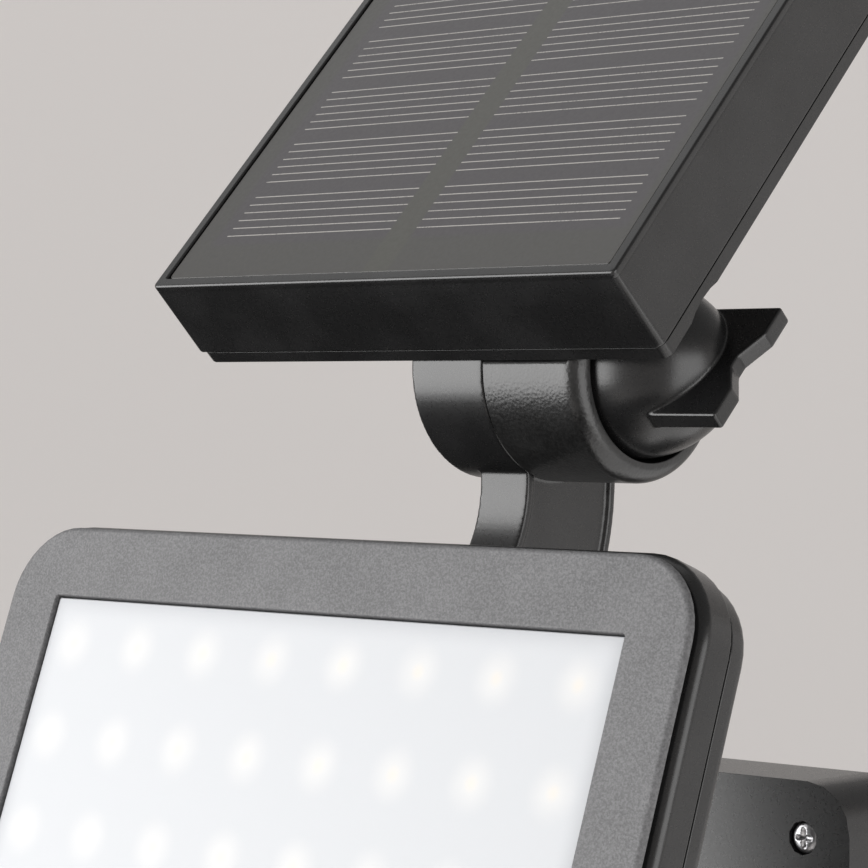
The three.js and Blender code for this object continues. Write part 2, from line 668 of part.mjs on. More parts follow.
// Elbow arm: a round knuckle, a recessed blade that bends forwards, and a foot on the rear housing
function buildArm() {
  const place = new THREE.Matrix4().makeTranslation(0, kneeY, kneeZ)
    .multiply(new THREE.Matrix4().makeRotationX(degrees(headLean)));
  const centreY = -armFront - armBend;
  const backBend = armBend + armFront + armBack;
  const bendSteps = 10;
  const startZ = -2;
  const band = (innerRadius, outerRadius) => {
    const edge = (radius) => [
      [centreY + radius, startZ],
      ...Array.from({ length: bendSteps + 1 }, (_, step) => {
        const angle = degrees(armTurn) * step / bendSteps;
        return [centreY + radius * Math.cos(angle), -armStraight - radius * Math.sin(angle)];
      })];
    return polygon([...edge(innerRadius), ...edge(outerRadius).reverse()]);
  };
  const bladeLeft = seamX - armWidth;
  const slabs = [
    slabX(band(armBend + join, backBend - join), bladeLeft + armRecess, seamX - armRecess),
    slabX(band(armBend, armBend + armRim), bladeLeft, seamX),
    slabX(band(backBend - armRim, backBend), bladeLeft, seamX)];
  const footFront = depthAt(rearBack + gap + footSealThickness + gap);
  const footBack = footFront + footThickness;
  // What would stand ahead of the foot's face, which the blade's end is trimmed to
  const ahead = box(
    -backBend, backBend, footFront - 2 * backBend, footFront + join,
    footMiddleZ - 2 * backBend, footMiddleZ + footHeight / 2 + 12);
  const blade = cut(unite(...slabs.map((slab) => solid(slab.applyMatrix4(place)))), solid(ahead));
  const disc = solid(rodX(knuckleRadius, knuckleLeft, seamX, kneeY, kneeZ, largeRound));
  const foot = solid(slabY(footOutline(0), footFront, footBack));
  const boltSeat = capSeat + gap + boltHeadThickness + gap;
  const arm = cut(unite(disc, blade, foot),
    solid(rodX(boltRadius + boreFit, knuckleLeft - past, seamX + past, kneeY, kneeZ)),
    solid(rodX(capRadius + boreFit, knuckleLeft - past, capSeat, kneeY, kneeZ)),
    solid(rodX(boltHeadCorner + boreFit, capSeat - past, boltSeat, kneeY, kneeZ, hexagon)),
    solid(rodX(frictionRadius + boreFit, seamX - frictionThickness / 2, seamX + past, kneeY, kneeZ)),
    ...footScrewPlaces().map(([x, z]) => screwHoleY(x, z, footFront - past, footBack + past)));
  addPiece(head, 'elbow_arm', arm, looks.satinBlack());
  footScrewPlaces().forEach(([x, z], index) => {
    const seat = depthAt(rearBack - rearWall - gap);
    addPiece(head, `arm_screw_${index + 1}`, screwY(x, z, seat, footBack - seat, 1), looks.steel());
  });

  const sealFace = depthAt(rearBack + gap);
  const seal = cut(
    solid(slabY(footOutline(gap), sealFace, sealFace + footSealThickness)),
    ...footScrewPlaces().map(([x, z]) => screwHoleY(x, z, sealFace - past, footFront)));
  addPiece(head, 'arm_seal', seal, looks.rubber());
}

const panelScrewPlaces = corners.map(([sx, sy]) => [
  panelShift + sx * (panelWidth / 2 - panelBossInset), panelMiddle + sy * (panelDepth / 2 - panelBossInset)]);

// Panel: frame with its glass ledge and screw bosses, seal, solar laminate and terminal box
function buildPanel() {
  const outline = (inset) => roundedRect(
    panelWidth - 2 * inset, panelDepth - 2 * inset, panelCorner, panelShift, panelMiddle, 2);
  const drafted = (geometry) => {
    const place = geometry.attributes.position;
    for (let index = 0; index < place.count; index += 1) {
      const grow = frameDraft * (frameTop - place.getZ(index)) / frameHeight;
      place.setX(index, place.getX(index) + Math.sign(place.getX(index) - panelShift) * grow);
      place.setY(index, place.getY(index) + Math.sign(place.getY(index) - panelMiddle) * grow);
    }
    return geometry;
  };
  const glassSeat = frameTop - rimDepth - laminateThickness - gap - panelSealThickness - gap;
  const bossTop = glassSeat - ledgeThickness;
  const bossBottom = spigotTop + gap;
  const shell = cut(
    solid(drafted(slabZ(outline(0), frameBottom, frameTop))),
    solid(slabZ(outline(frameWall), frameBottom - past, bossTop)),
    solid(slabZ(outline(frameWall + ledgeWidth), bossTop - past, frameTop)),
    solid(slabZ(outline(frameWall), glassSeat, frameTop + past)));
  const bosses = panelScrewPlaces.map(([x, y]) => solid(rodZ(bossRadius, bossBottom, bossTop + join, x, y)));
  const frame = cut(unite(shell, ...bosses),
    ...panelScrewPlaces.map(([x, y]) => screwHoleZ(x, y, bossBottom - past, bossTop - past)));
  addPiece(panel, 'panel_frame', frame, looks.satinBlack());

  const sealBottom = glassSeat + gap;
  const glassBottom = sealBottom + panelSealThickness + gap;
  addPiece(panel, 'panel_seal', cut(
    solid(slabZ(outline(frameWall + gap), sealBottom, sealBottom + panelSealThickness)),
    solid(slabZ(outline(frameWall + ledgeWidth - gap), glassSeat, glassBottom))), looks.rubber());
  addPiece(panel, 'solar_laminate', solid(
    slabZ(outline(frameWall + gap), glassBottom, glassBottom + laminateThickness)), looks.glass());
  const boxShape = roundedRect(
    terminalBoxWidth, terminalBoxHeight, 2, panelShift, panelMiddle - terminalBoxForward, 2);
  const boxTop = glassBottom - gap;
  const terminalBox = solid(slabZ(boxShape, boxTop - terminalBoxDepth, boxTop));
  addPiece(panel, 'terminal_box', terminalBox, looks.satinBlack());
}

// Tray that closes the panel from below, with an arch over the knuckle
function buildBackCover() {
  const outline = (inset) => roundedRect(
    coverWidth - 2 * inset, coverDepth - 2 * inset, panelCorner + 1, panelShift, panelMiddle, 3);
  const spigotInset = frameWall + gap;
  const floorTop = underside + coverFloor;
  const tray = unite(
    solid(slabZ(outline(0), underside, underside + coverHeight)),
    solid(slabZ(outline(spigotInset), underside + coverHeight - join, spigotTop)));
  const inside = solid(slabZ(outline(spigotInset + spigotWall), floorTop, spigotTop + past));
  const archBand = solid(slabZ(outline(spigotInset), underside + join, spigotTop + knuckleRadius));
  const arch = solid(rodX(
    pocketRadius + archWall, knuckleLeft - gap - archWall, bracketLeft + archWall, 0, 0, largeRound));
  const bracketScrews = mirrored.map((sy) => [bracketScrewX, sy * bracketScrewOut]);
  const cover = cut(unite(cut(tray, inside), arch.intersect(archBand)),
    solid(rodX(pocketRadius, knuckleLeft - gap, bracketLeft, 0, 0, largeRound)),
    solid(rodX(knobRadius + knobClear, cupFloor, cupFloor + 2 * knobLength, 0, 0, largeRound)),
    ...[...panelScrewPlaces, ...bracketScrews].map(([x, y]) => screwHoleZ(
      x, y, underside - past, floorTop + past)));
  addPiece(panel, 'panel_back_cover', cover, looks.satinBlack());

  panelScrewPlaces.forEach(([x, y], index) => {
    const screw = screwZ(x, y, underside - gap, spigotTop - underside + screwBite, 1);
    addPiece(panel, `panel_screw_${index + 1}`, screw, looks.steel());
  });
  bracketScrews.forEach(([x, y], index) => {
    const screw = screwZ(x, y, floorTop + gap, coverFloor + screwBite, -1);
    addPiece(panel, `bracket_screw_${index + 1}`, screw, looks.steel());
  });
}

// The panel's half of the knuckle: a barrel, a neck, a rolled lip and the cup behind the wing knob
function buildBracket() {
  const radius = knuckleRadius + bracketSwell;
  const neckRadius = radius - neckDepth;
  const neckX = bracketLeft + barrelLength;
  const lipX = neckX + neckLength;
  const endX = lipX + lipLength;
  const lipSteps = 4;
  const lipRound = (radius - cupRadius) / 2;
  const lip = Array.from({ length: lipSteps + 1 }, (_, step) => {
    const angle = (step / lipSteps) * Math.PI;
    return [endX - lipRound + lipRound * Math.sin(angle), radius - lipRound + lipRound * Math.cos(angle)];
  });
  const barrel = turnedX([
    [bracketLeft, 0], [bracketLeft, radius], [neckX - 2 * neckDepth, radius], [neckX, neckRadius],
    [lipX - 2 * neckDepth, neckRadius], [lipX, radius], ...lip,
    [cupFloor, cupRadius], [cupFloor, 0]], largeRound);
  const bracket = cut(solid(barrel),
    solid(box(
      bracketLeft - past, endX + past, -radius - past, radius + past, underside - gap, radius + past)),
    solid(rodX(boltRadius + boreFit, bracketLeft - past, endX + past)),
    solid(rodX(frictionRadius + boreFit, bracketLeft - past, bracketLeft + frictionThickness / 2)),
    ...mirrored.map((sy) => screwHoleZ(
      bracketScrewX, sy * bracketScrewOut, underside - gap - screwBite, underside + past)));
  addPiece(panel, 'panel_bracket', bracket, looks.coarseGrain());
}

// A wing knob on the X axis: a domed boss with two wings in one plane, and a pocket for the nut
function wingKnob(size, boreDepth) {
  const steps = 6;
  const start = Math.asin(knobStart / knobLength);
  const dome = Array.from({ length: steps + 1 }, (_, step) => {
    const angle = -start + (Math.PI / 2 + start) * step / steps;
    const radius = step === steps ? 0 : knobRadius * Math.cos(angle);
    return [size * (knobStart + knobLength * Math.sin(angle)), size * radius];
  });
  const notchX = wingReach - wingNotch;
  const wings = polygon([
    [wingRoot, -wingSpan], [wingReach, -wingSpan], [wingReach, -wingSpan / 2], [notchX, 0],
    [wingReach, wingSpan / 2], [wingReach, wingSpan], [wingRoot, wingSpan]]
    .map(([x, z]) => [size * x, size * z]));
  const plate = slabY(wings, -size * wingThickness / 2, size * wingThickness / 2);
  return cut(unite(solid(turnedX([[0, 0], ...dome], 24)), solid(plate)),
    solid(rodX(boltHeadCorner + boreFit, -past, nutThickness + 2 * gap, 0, 0, hexagon)),
    solid(rodX(boltRadius + boreFit, -past, boreDepth)));
}

// Both clamps: bolt, cap, friction rings, washer, nut and wing knob
function buildClamps() {
  const shaftHole = boltRadius + boreFit;
  const ring = (radius, hole, x0, x1) => cut(
    solid(rodX(radius, x0, x1)), solid(rodX(hole, x0 - past, x1 + past)));
  const nut = () => cut(
    solid(rodX(boltHeadCorner, gap, gap + nutThickness, 0, 0, hexagon)),
    solid(rodX(shaftHole, 0, nutThickness + past)));
  const bolt = (headX, endX) => unite(
    solid(rodX(boltHeadCorner, headX, headX + boltHeadThickness, 0, 0, hexagon)),
    solid(rodX(boltRadius, headX + boltHeadThickness - join, endX)));
  const clampAxis = (y, z, turn = 0) => {
    const axis = new THREE.Group();
    axis.position.set(0, y, z);
    axis.rotation.x = degrees(turn);
    head.add(axis);
    return axis;
  };
  const knobAndNut = (axis, prefix, size, boreDepth, x) => {
    addPiece(axis, `${prefix}_wing_knob`, wingKnob(size, boreDepth), looks.satinBlack()).position.x = x;
    addPiece(axis, `${prefix}_nut`, nut(), looks.steel()).position.x = x;
  };
  const washer = (seat) => ring(washerRadius, shaftHole, seat + gap, seat + gap + washerThickness);
  const boltShort = 2;

  const upper = clampAxis(kneeY, kneeZ);
  const upperBore = knobLength - knobFloor;
  const cap = solid(rodX(capRadius, capSeat - gap - capThickness, capSeat - gap));
  addPiece(upper, 'upper_bolt_cap', cap, looks.rubber());
  addPiece(upper, 'upper_bolt', bolt(capSeat + gap, upperKnobX + upperBore - boltShort), looks.steel());
  addPiece(upper, 'upper_friction_ring', ring(
    frictionRadius, shaftHole + frictionClear,
    seamX - frictionThickness / 2 + gap, bracketLeft + frictionThickness / 2 - gap), looks.rubber());
  addPiece(upper, 'upper_washer', washer(cupFloor), looks.steel());
  knobAndNut(clampAxis(kneeY, kneeZ, headLean - knobLean), 'upper', 1, upperBore, upperKnobX);

  const lower = clampAxis(0, 0);
  const lowerBore = lowerKnobScale * knobLength - knobFloor;
  addPiece(lower, 'lower_bolt', bolt(-earOuter + gap, lowerKnobX + lowerBore - boltShort), looks.steel());
  addPiece(lower, 'lower_washer', washer(earOuter), looks.steel());
  knobAndNut(clampAxis(0, 0, headLean - knobLean), 'lower', lowerKnobScale, lowerBore, lowerKnobX);
  mirrored.forEach((sx) => {
    const ends = ordered(sx * (lugHalf - frictionThickness / 2), sx * (lugHalf + gap / 2));
    const name = sx > 0 ? 'lower_friction_ring_right' : 'lower_friction_ring_left';
    const body = ring(frictionRadius, shaftHole + frictionClear, ...ends);
    addPiece(light, name, body, looks.rubber()).position.y = -postReach;
  });
}

buildWallPost();
buildFront();
buildBody();
buildOptics();
buildPower();
buildSensor();
buildArm();
buildPanel();
buildBackCover();
buildBracket();
buildClamps();

export default light;
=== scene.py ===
import json
import math
import bmesh
import bpy
import numpy as np
from mathutils import Matrix, Vector


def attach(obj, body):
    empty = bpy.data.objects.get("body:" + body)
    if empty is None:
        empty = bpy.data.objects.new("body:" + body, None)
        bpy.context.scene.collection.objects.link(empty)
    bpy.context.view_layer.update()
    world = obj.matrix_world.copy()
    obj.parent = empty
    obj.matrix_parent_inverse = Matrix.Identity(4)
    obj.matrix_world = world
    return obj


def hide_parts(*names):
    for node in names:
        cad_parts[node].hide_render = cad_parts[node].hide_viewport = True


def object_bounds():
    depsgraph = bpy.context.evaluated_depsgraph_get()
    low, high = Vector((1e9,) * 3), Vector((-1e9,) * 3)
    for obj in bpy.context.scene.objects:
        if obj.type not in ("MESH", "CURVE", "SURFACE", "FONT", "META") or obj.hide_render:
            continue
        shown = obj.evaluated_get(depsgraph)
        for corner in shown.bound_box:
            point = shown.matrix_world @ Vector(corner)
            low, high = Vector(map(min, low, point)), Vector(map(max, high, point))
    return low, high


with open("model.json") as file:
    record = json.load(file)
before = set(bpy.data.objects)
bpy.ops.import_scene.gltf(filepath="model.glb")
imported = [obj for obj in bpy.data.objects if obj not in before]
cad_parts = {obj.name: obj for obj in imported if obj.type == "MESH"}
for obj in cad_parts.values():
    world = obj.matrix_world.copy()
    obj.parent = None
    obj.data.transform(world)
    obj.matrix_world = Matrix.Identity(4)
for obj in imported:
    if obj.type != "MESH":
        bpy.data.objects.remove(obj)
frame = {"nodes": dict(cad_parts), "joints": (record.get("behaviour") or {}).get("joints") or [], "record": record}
cadBox = [list(corner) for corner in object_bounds()]
joints = {joint["name"]: joint for joint in frame["joints"]}
toMetres = 0.001  # every size below is in millimetres
print("frame loaded")


class Place:
    # a frame turned about X, with its origin on a joint; points are rows of x, y, z in millimetres
    def __init__(self, origin, turn):
        c, s = math.cos(turn), math.sin(turn)
        self.origin = np.array(origin, float) / toMetres
        self.axes = np.array([[1, 0, 0], [0, c, -s], [0, s, c]])

    def toWorld(self, points):
        return (np.asarray(points, float) @ self.axes.T + self.origin) * toMetres

    def toLocal(self, points):
        return (np.asarray(points, float) / toMetres - self.origin) @ self.axes

    def span(self, node):
        # lowest and highest corner of a CAD node in this frame
        mesh = frame["nodes"][node].data
        points = np.empty(len(mesh.vertices) * 3)
        mesh.vertices.foreach_get("co", points)
        local = self.toLocal(points.reshape(-1, 3))
        return local.min(0), local.max(0)


def glassNormal():
    # the normal of the laminate's largest upward face
    mesh = frame["nodes"]["solar_laminate"].data
    return max(mesh.polygons, key=lambda face: face.area * (face.normal.z > 0)).normal


pressAxis = joints["mode_button_press"]["axis"]
headLean = math.atan2(pressAxis[1], pressAxis[2])
panelTilt = math.atan2(-glassNormal().y, glassNormal().z)
wallPlace = Place((0, 0, 0), 0)
headPlace = Place(joints["head_tilt"]["pos_m"], -headLean)
armPlace = Place(joints["panel_tilt"]["pos_m"], 0)
panelPlace = Place(joints["panel_tilt"]["pos_m"], panelTilt)


cameraLook = dict(place=(397.5, -515.2, 121.3), azimuth=43.476, elevation=0.771, roll=0.082, lens=134.1,
                  sensor=36, farthest=100)
floorLook = dict(drop=450, flat=4000, bend=1800, height=3600, colour=(0.62, 0.595, 0.575),
                 wallGlow=(0.292, 0.284, 0.282), glowFrom=300, glowTo=3300)
shadeLook = dict(above=8, middle=(-1175, -550), half=(1025, 1250), corner=200, colour=(0.012, 0.012, 0.012))
lampLooks = [
    dict(name="keyLamp", toward=(-0.54, -0.84, 0.07), distance=1150, wide=1300, high=1000, power=25.0),
    dict(name="topLamp", toward=(-0.5, 0.1, 0.95), distance=1300, wide=1100, high=1100, power=2.6),
    dict(name="rightLamp", toward=(0.98, -0.1, -0.08), distance=1150, wide=900, high=1000, power=8.5),
    dict(name="sideLamp", toward=(0.69, 0.73, -0.05), distance=1150, wide=1000, high=900, power=1.15),
    dict(name="lowLamp", toward=(0.45, 0.4, -0.8), distance=480, wide=650, high=650, power=1.5),
]
worldLook = dict(colour=(1.0, 0.985, 0.97), strength=0.3)


def makeCamera():
    # the camera looks along (-sin a cos e, cos a cos e, -sin e), rolled about that line
    data = bpy.data.cameras.new("camera")
    data.lens = cameraLook["lens"]
    data.sensor_width = cameraLook["sensor"]
    data.clip_end = cameraLook["farthest"]
    camera = bpy.data.objects.new("camera", data)
    camera.location = Vector(cameraLook["place"]) * toMetres
    azimuth, elevation, roll = (math.radians(cameraLook[k]) for k in ("azimuth", "elevation", "roll"))
    ahead = Vector((-math.sin(azimuth) * math.cos(elevation), math.cos(azimuth) * math.cos(elevation),
                    -math.sin(elevation)))
    camera.rotation_euler = (ahead.to_track_quat("-Z", "Y").to_matrix()
                             @ Matrix.Rotation(roll, 3, "Z")).to_euler()
    bpy.context.scene.collection.objects.link(camera)
    bpy.context.scene.camera = camera


def makeLights():
    # each lamp stands at the object's middle plus its direction times its distance, and faces the middle
    world = bpy.data.worlds.new("studio")
    bpy.context.scene.world = world
    world.use_nodes = True
    background = world.node_tree.nodes["Background"]
    background.inputs["Color"].default_value = (*worldLook["colour"], 1)
    background.inputs["Strength"].default_value = worldLook["strength"]
    middle = (Vector(cadBox[0]) + Vector(cadBox[1])) / 2
    for look in lampLooks:
        data = bpy.data.lights.new(look["name"], "AREA")
        data.shape = "RECTANGLE"
        data.size, data.size_y = look["wide"] * toMetres, look["high"] * toMetres
        data.energy = look["power"]
        lamp = bpy.data.objects.new(look["name"], data)
        toward = Vector(look["toward"]).normalized()
        lamp.location = middle + toward * look["distance"] * toMetres
        lamp.rotation_euler = toward.to_track_quat("Z", "Y").to_euler()
        lamp.visible_camera = False
        bpy.context.scene.collection.objects.link(lamp)


class Value:
    # a socket in a material, so that sums on it add Math nodes
    def __init__(self, finish, socket):
        self.finish, self.socket = finish, socket

    def math(self, operation, *values):
        node = self.finish.node("ShaderNodeMath", dict(operation=operation), dict(enumerate(values)))
        return Value(self.finish, node.outputs[0])

    def __add__(self, other):
        return self.math("ADD", self, other)

    def __radd__(self, other):
        return self.math("ADD", other, self)

    def __sub__(self, other):
        return self.math("SUBTRACT", self, other)

    def __rsub__(self, other):
        return self.math("SUBTRACT", other, self)

    def __mul__(self, other):
        return self.math("MULTIPLY", self, other)

    def __rmul__(self, other):
        return self.math("MULTIPLY", other, self)

    def __truediv__(self, other):
        return self.math("DIVIDE", self, other)

    def __gt__(self, other):
        return self.math("GREATER_THAN", self, other)

    def __lt__(self, other):
        return self.math("LESS_THAN", self, other)

    def __abs__(self):
        return self.math("ABSOLUTE", self)

    def floor(self):
        return self.math("FLOOR", self)

    def part(self):
        return self.math("FRACT", self)  # what is left above the whole number

    def root(self):
        return self.math("SQRT", self)

    def ramp(self, low, high):
        # 0 below low and 1 above high, smooth between
        node = self.finish.node("ShaderNodeMapRange", dict(interpolation_type="SMOOTHSTEP"),
                                {"Value": self, "From Min": low, "From Max": high})
        return Value(self.finish, node.outputs["Result"])


class Finish:
    # a material on one Principled shader; fixed values go straight on its sockets
    def __init__(self, name, colour, roughness, **fixed):
        self.material = bpy.data.materials.new(name)
        self.material.use_nodes = True
        self.tree = self.material.node_tree
        self.shader = self.tree.nodes["Principled BSDF"]
        self.shader.inputs["Base Color"].default_value = (*colour, 1)
        self.shader.inputs["Roughness"].default_value = roughness
        for key, value in fixed.items():
            self.shader.inputs[key.replace("_", " ")].default_value = value
        self.material.diffuse_color = (*colour, 1)
        self.spot = self.node("ShaderNodeTexCoord").outputs["Object"]

    def node(self, kind, settings=None, inputs=None):
        node = self.tree.nodes.new(kind)
        for key, value in (settings or {}).items():
            setattr(node, key, value)
        for key, value in (inputs or {}).items():
            self.put(node.inputs[key], value)
        return node

    def put(self, socket, value):
        if isinstance(value, Value):
            value = value.socket
        if isinstance(value, bpy.types.NodeSocket):
            self.tree.links.new(value, socket)
        else:
            socket.default_value = value

    def set(self, **inputs):
        for key, value in inputs.items():
            self.put(self.shader.inputs[key.replace("_", " ")], value)

    def noise(self, size, detail=2.0, roughness=0.5, stretch=None):
        # a soft noise with features of that size in millimetres, from 0 to 1
        spot = self.spot
        if stretch:
            spot = self.node("ShaderNodeMapping", dict(vector_type="POINT"),
                             {"Vector": spot, "Scale": stretch}).outputs["Vector"]
        node = self.node("ShaderNodeTexNoise", None, {
            "Vector": spot, "Scale": 1 / (size * toMetres), "Detail": detail, "Roughness": roughness})
        return Value(self, node.outputs["Fac"])

    def pebbles(self, size):
        # distance from the middle of rounded cells of that size, for a leather-like grain
        node = self.node("ShaderNodeTexVoronoi", dict(feature="SMOOTH_F1"), {
            "Vector": self.spot, "Scale": 1 / (size * toMetres), "Smoothness": 0.6})
        return Value(self, node.outputs["Distance"])

    def mix(self, share, low, high):
        # a colour between two
        node = self.node("ShaderNodeMix", dict(data_type="RGBA"))
        self.put(node.inputs[0], share)
        for socket, colour in ((node.inputs[6], low), (node.inputs[7], high)):
            self.put(socket, (*colour, 1) if isinstance(colour, tuple) else colour)
        return node.outputs[2]

    def bump(self, height, depth):
        # height from 0 to 1 becomes a relief of that depth in millimetres
        node = self.node("ShaderNodeBump", None, {
            "Height": height, "Strength": 1.0, "Distance": depth * toMetres})
        self.put(self.shader.inputs["Normal"], node.outputs["Normal"])

    def along(self, place):
        # the three coordinates in a turned frame, in millimetres
        axes = [Value(self, self.node("ShaderNodeVectorMath", dict(operation="DOT_PRODUCT"), {
            0: self.spot, 1: tuple(place.axes[:, k])}).outputs["Value"]) for k in range(3)]
        shift = place.origin @ place.axes
        return [axis * (1 / toMetres) - float(shift[k]) for k, axis in enumerate(axes)]


satinLook = dict(colour=(0.0055, 0.0055, 0.0057), pale=(0.010, 0.010, 0.0103), roughness=(0.25, 0.31),
                 grain=0.6, depth=0.007, cloud=14, fleck=0.15, pebbled=0.0, specular=0.5)
fineLook = dict(colour=(0.080, 0.080, 0.0825), pale=(0.134, 0.134, 0.138), roughness=(0.5, 0.66),
                grain=0.4, depth=0.09, cloud=11, fleck=0.8, pebbled=0.45, specular=0.35)
coarseLook = dict(colour=(0.005, 0.005, 0.005), pale=(0.011, 0.011, 0.011), roughness=(0.24, 0.36),
                  grain=0.62, depth=0.05, cloud=6, fleck=0.5, pebbled=0.7, specular=0.5)


def mouldedPlastic(name, look):
    # the colour goes from dark to pale with clouds and flecks; the relief is fine noise and, where it is
    # pebbled, rounded cells like leather
    finish = Finish(name, look["colour"], sum(look["roughness"]) / 2, Specular_IOR_Level=look["specular"])
    cloud = finish.noise(look["cloud"], 3.0)
    fine = finish.noise(look["grain"], 2.0)
    fleck = finish.noise(look["grain"] * 1.2, 3.0, 0.6)
    low, high = look["roughness"]
    cells = finish.pebbles(look["grain"])
    share = look["fleck"]
    tone = cloud.ramp(0.35, 0.7) * (1 - share) + fleck.ramp(0.38, 0.64) * share
    relief = cells * look["pebbled"] + fine * (1 - look["pebbled"]) + fleck * share * 0.5
    finish.set(Base_Color=finish.mix(tone, look["colour"], look["pale"]),
               Roughness=fleck * (high - low) + low)
    finish.bump(relief, look["depth"])
    return finish.material


# the edge colour is a painted shade at the lens's rim, and the pale halo colour is a painted glow round each chip
lensLook = dict(colour=(0.448, 0.460, 0.476), halo=(0.54, 0.54, 0.535), chip=(0.58, 0.53, 0.46),
                edge=(0.36, 0.368, 0.385), edgeWide=4.5, pitch=17.6, haloSize=6.2, chipSize=2.0,
                chipShare=0.5, mottle=5, grain=0.5, grainDepth=0.01)


def frostedLens():
    # each chip behind the lens shows as a pale halo, a painted glow, with a warm middle, by the distance to the
    # nearest point of a square grid; the rim is greyer, a painted shade where the bezel shades the lens
    look = lensLook
    finish = Finish("frostedLens", look["colour"], 0.42, Specular_IOR_Level=0.2)
    x, _, z = finish.along(headPlace)
    window = windowSize()
    top = window["top"]
    across = ((x / look["pitch"]).part() - 0.5) * look["pitch"]
    down = (((top - z) / look["pitch"]).part() - 0.5) * look["pitch"]
    away = (across * across + down * down).root()
    mottle = finish.noise(look["mottle"], 2.0)
    # painted glow: a pale halo round each chip, fading out over the halo size
    halo = (1 - away.ramp(0, look["haloSize"])) * (mottle * 0.5 + 0.55)
    chip = (1 - away.ramp(0, look["chipSize"])) * look["chipShare"]
    wide = look["edgeWide"]
    # painted shade: inner falls from 1 to 0 within the shade width of the window's top and sides, so the lens
    # greys towards its rim
    inner = (top - z).ramp(-wide / 3, wide) * (window["wide"] - abs(x)).ramp(-wide / 3, wide)
    colour = finish.mix(inner, look["edge"], look["colour"])
    colour = finish.mix(halo, colour, look["halo"])
    colour = finish.mix(chip, colour, look["chip"])
    finish.set(Base_Color=colour, Roughness=finish.noise(look["grain"]) * 0.12 + 0.38)
    finish.bump(finish.noise(look["grain"], 2.0), look["grainDepth"])
    return finish.material


cellLook = dict(
    margin=(0.033, 0.032, 0.0295), cell=(0.034, 0.0305, 0.0345), band=(0.037, 0.037, 0.030),
    finger=(0.30, 0.29, 0.27), fingerWidth=0.19, pitch=2.08, perRow=6, rowPitch=14.56, rows=6, first=0.2,
    left=(-44.7, -2.2), right=(4.1, 50.8), cellEdge=2.6, cellFrom=(-3, -1.4), grain=0.6, relief=0.012)


def solarFace():
    # thin silver fingers where the distance up a row is near a whole number of pitches, over two columns
    # of cells, in the panel's own coordinates
    look = cellLook
    finish = Finish("solarFace", look["cell"], 0.36, Coat_Roughness=0.22)
    x, v, _ = finish.along(panelPlace)
    rise = v - (look["first"] - look["pitch"] / 2)
    row = (rise / look["rowPitch"]).floor()
    inRow = rise - row * look["rowPitch"]
    rowOn = (row > -0.5) * (row < look["rows"] - 0.5) * (inRow < look["perRow"] * look["pitch"])
    offLine = abs((inRow / look["pitch"]).part() - 0.5) * look["pitch"]
    wobble = finish.noise(9, 1.0) * 0.3 + finish.noise(0.35, 1.0) * 0.7
    line = 1 - offLine.ramp(look["fingerWidth"] * 0.35, look["fingerWidth"] * 0.85)

    def between(low, high, soft=0.05):
        return x.ramp(low - soft, low + soft) * (1 - x.ramp(high - soft, high + soft))

    across = between(*look["left"]) + between(*look["right"])
    fingers = line * across * rowOn * (wobble.ramp(0.28, 0.5) * 0.6 + 0.4)
    wide = look["cellEdge"]
    inCells = between(look["left"][0] - wide, look["right"][1] + wide, 0.8) * v.ramp(*look["cellFrom"])
    band = between(look["left"][1], look["right"][0], 0.35)
    mottle = finish.noise(1.6, 3.0, 0.6)
    tone = finish.mix(inCells * (mottle * 0.6 + 0.55), look["margin"], look["cell"])
    tone = finish.mix(band * 0.85, tone, look["band"])
    tone = finish.mix(fingers, tone, look["finger"])
    finish.set(Base_Color=tone, Roughness=finish.noise(0.8) * 0.16 + 0.34 - fingers * 0.08, Coat_Weight=0.15)
    finish.bump(finish.noise(look["grain"], 2.0) * 0.5 + fingers * 0.5, look["relief"])
    return finish.material


def plainFinish(name, colour, roughness, grain, depth, stretch=None, **fixed):
    # a colour that clouds a little, a grain, and a roughness that follows the grain
    spread = 0.08
    finish = Finish(name, colour, roughness, **fixed)
    fine = finish.noise(grain, 2.0, 0.5, stretch)
    cloud = finish.noise(grain * 18, 3.0)
    paler = tuple(min(1.0, channel * 1.25 + 0.004) for channel in colour)
    finish.set(Base_Color=finish.mix(cloud.ramp(0.3, 0.75), colour, paler),
               Roughness=fine * 2 * spread + (roughness - spread))
    finish.bump(fine, depth)
    return finish.material


finishes = {
    "satin_black_plastic": mouldedPlastic("satinBlack", satinLook),
    "fine_grain_plastic": mouldedPlastic("fineGrain", fineLook),
    "coarse_grain_plastic": mouldedPlastic("coarseGrain", coarseLook),
    "solar_glass": solarFace(),
    "black_rubber": plainFinish("blackRubber", (0.014, 0.014, 0.015), 0.72, 0.3, 0.012),
    "zinc_steel": plainFinish("zincSteel", (0.52, 0.52, 0.53), 0.34, 0.5, 0.006, Metallic=1.0),
    "heat_plate_aluminium": plainFinish(
        "heatPlate", (0.72, 0.73, 0.74), 0.4, 0.4, 0.008, stretch=(0.05, 1, 1), Metallic=1.0),
    "white_led_board": plainFinish("ledBoard", (0.74, 0.74, 0.71), 0.45, 0.4, 0.006),
    "green_circuit_board": plainFinish("circuitBoard", (0.015, 0.13, 0.05), 0.35, 0.6, 0.02),
    "battery_wrap": plainFinish("batteryWrap", (0.02, 0.13, 0.34), 0.3, 0.8, 0.01),
    "milky_sensor_lens": plainFinish(
        "sensorLens", (0.72, 0.74, 0.75), 0.34, 0.6, 0.008, Subsurface_Weight=0.15),
}
print("finishes made")


def gridFaces(rows, columns, wrapRows=False):
    # four-sided faces between neighbouring points of a grid whose rows close on themselves
    row = np.arange(rows if wrapRows else rows - 1)
    column = np.arange(columns)
    r, c = (a.ravel() for a in np.meshgrid(row, column, indexing="ij"))
    under, right = (r + 1) % rows, (c + 1) % columns
    return np.stack([r * columns + c, r * columns + right, under * columns + right, under * columns + c], 1)


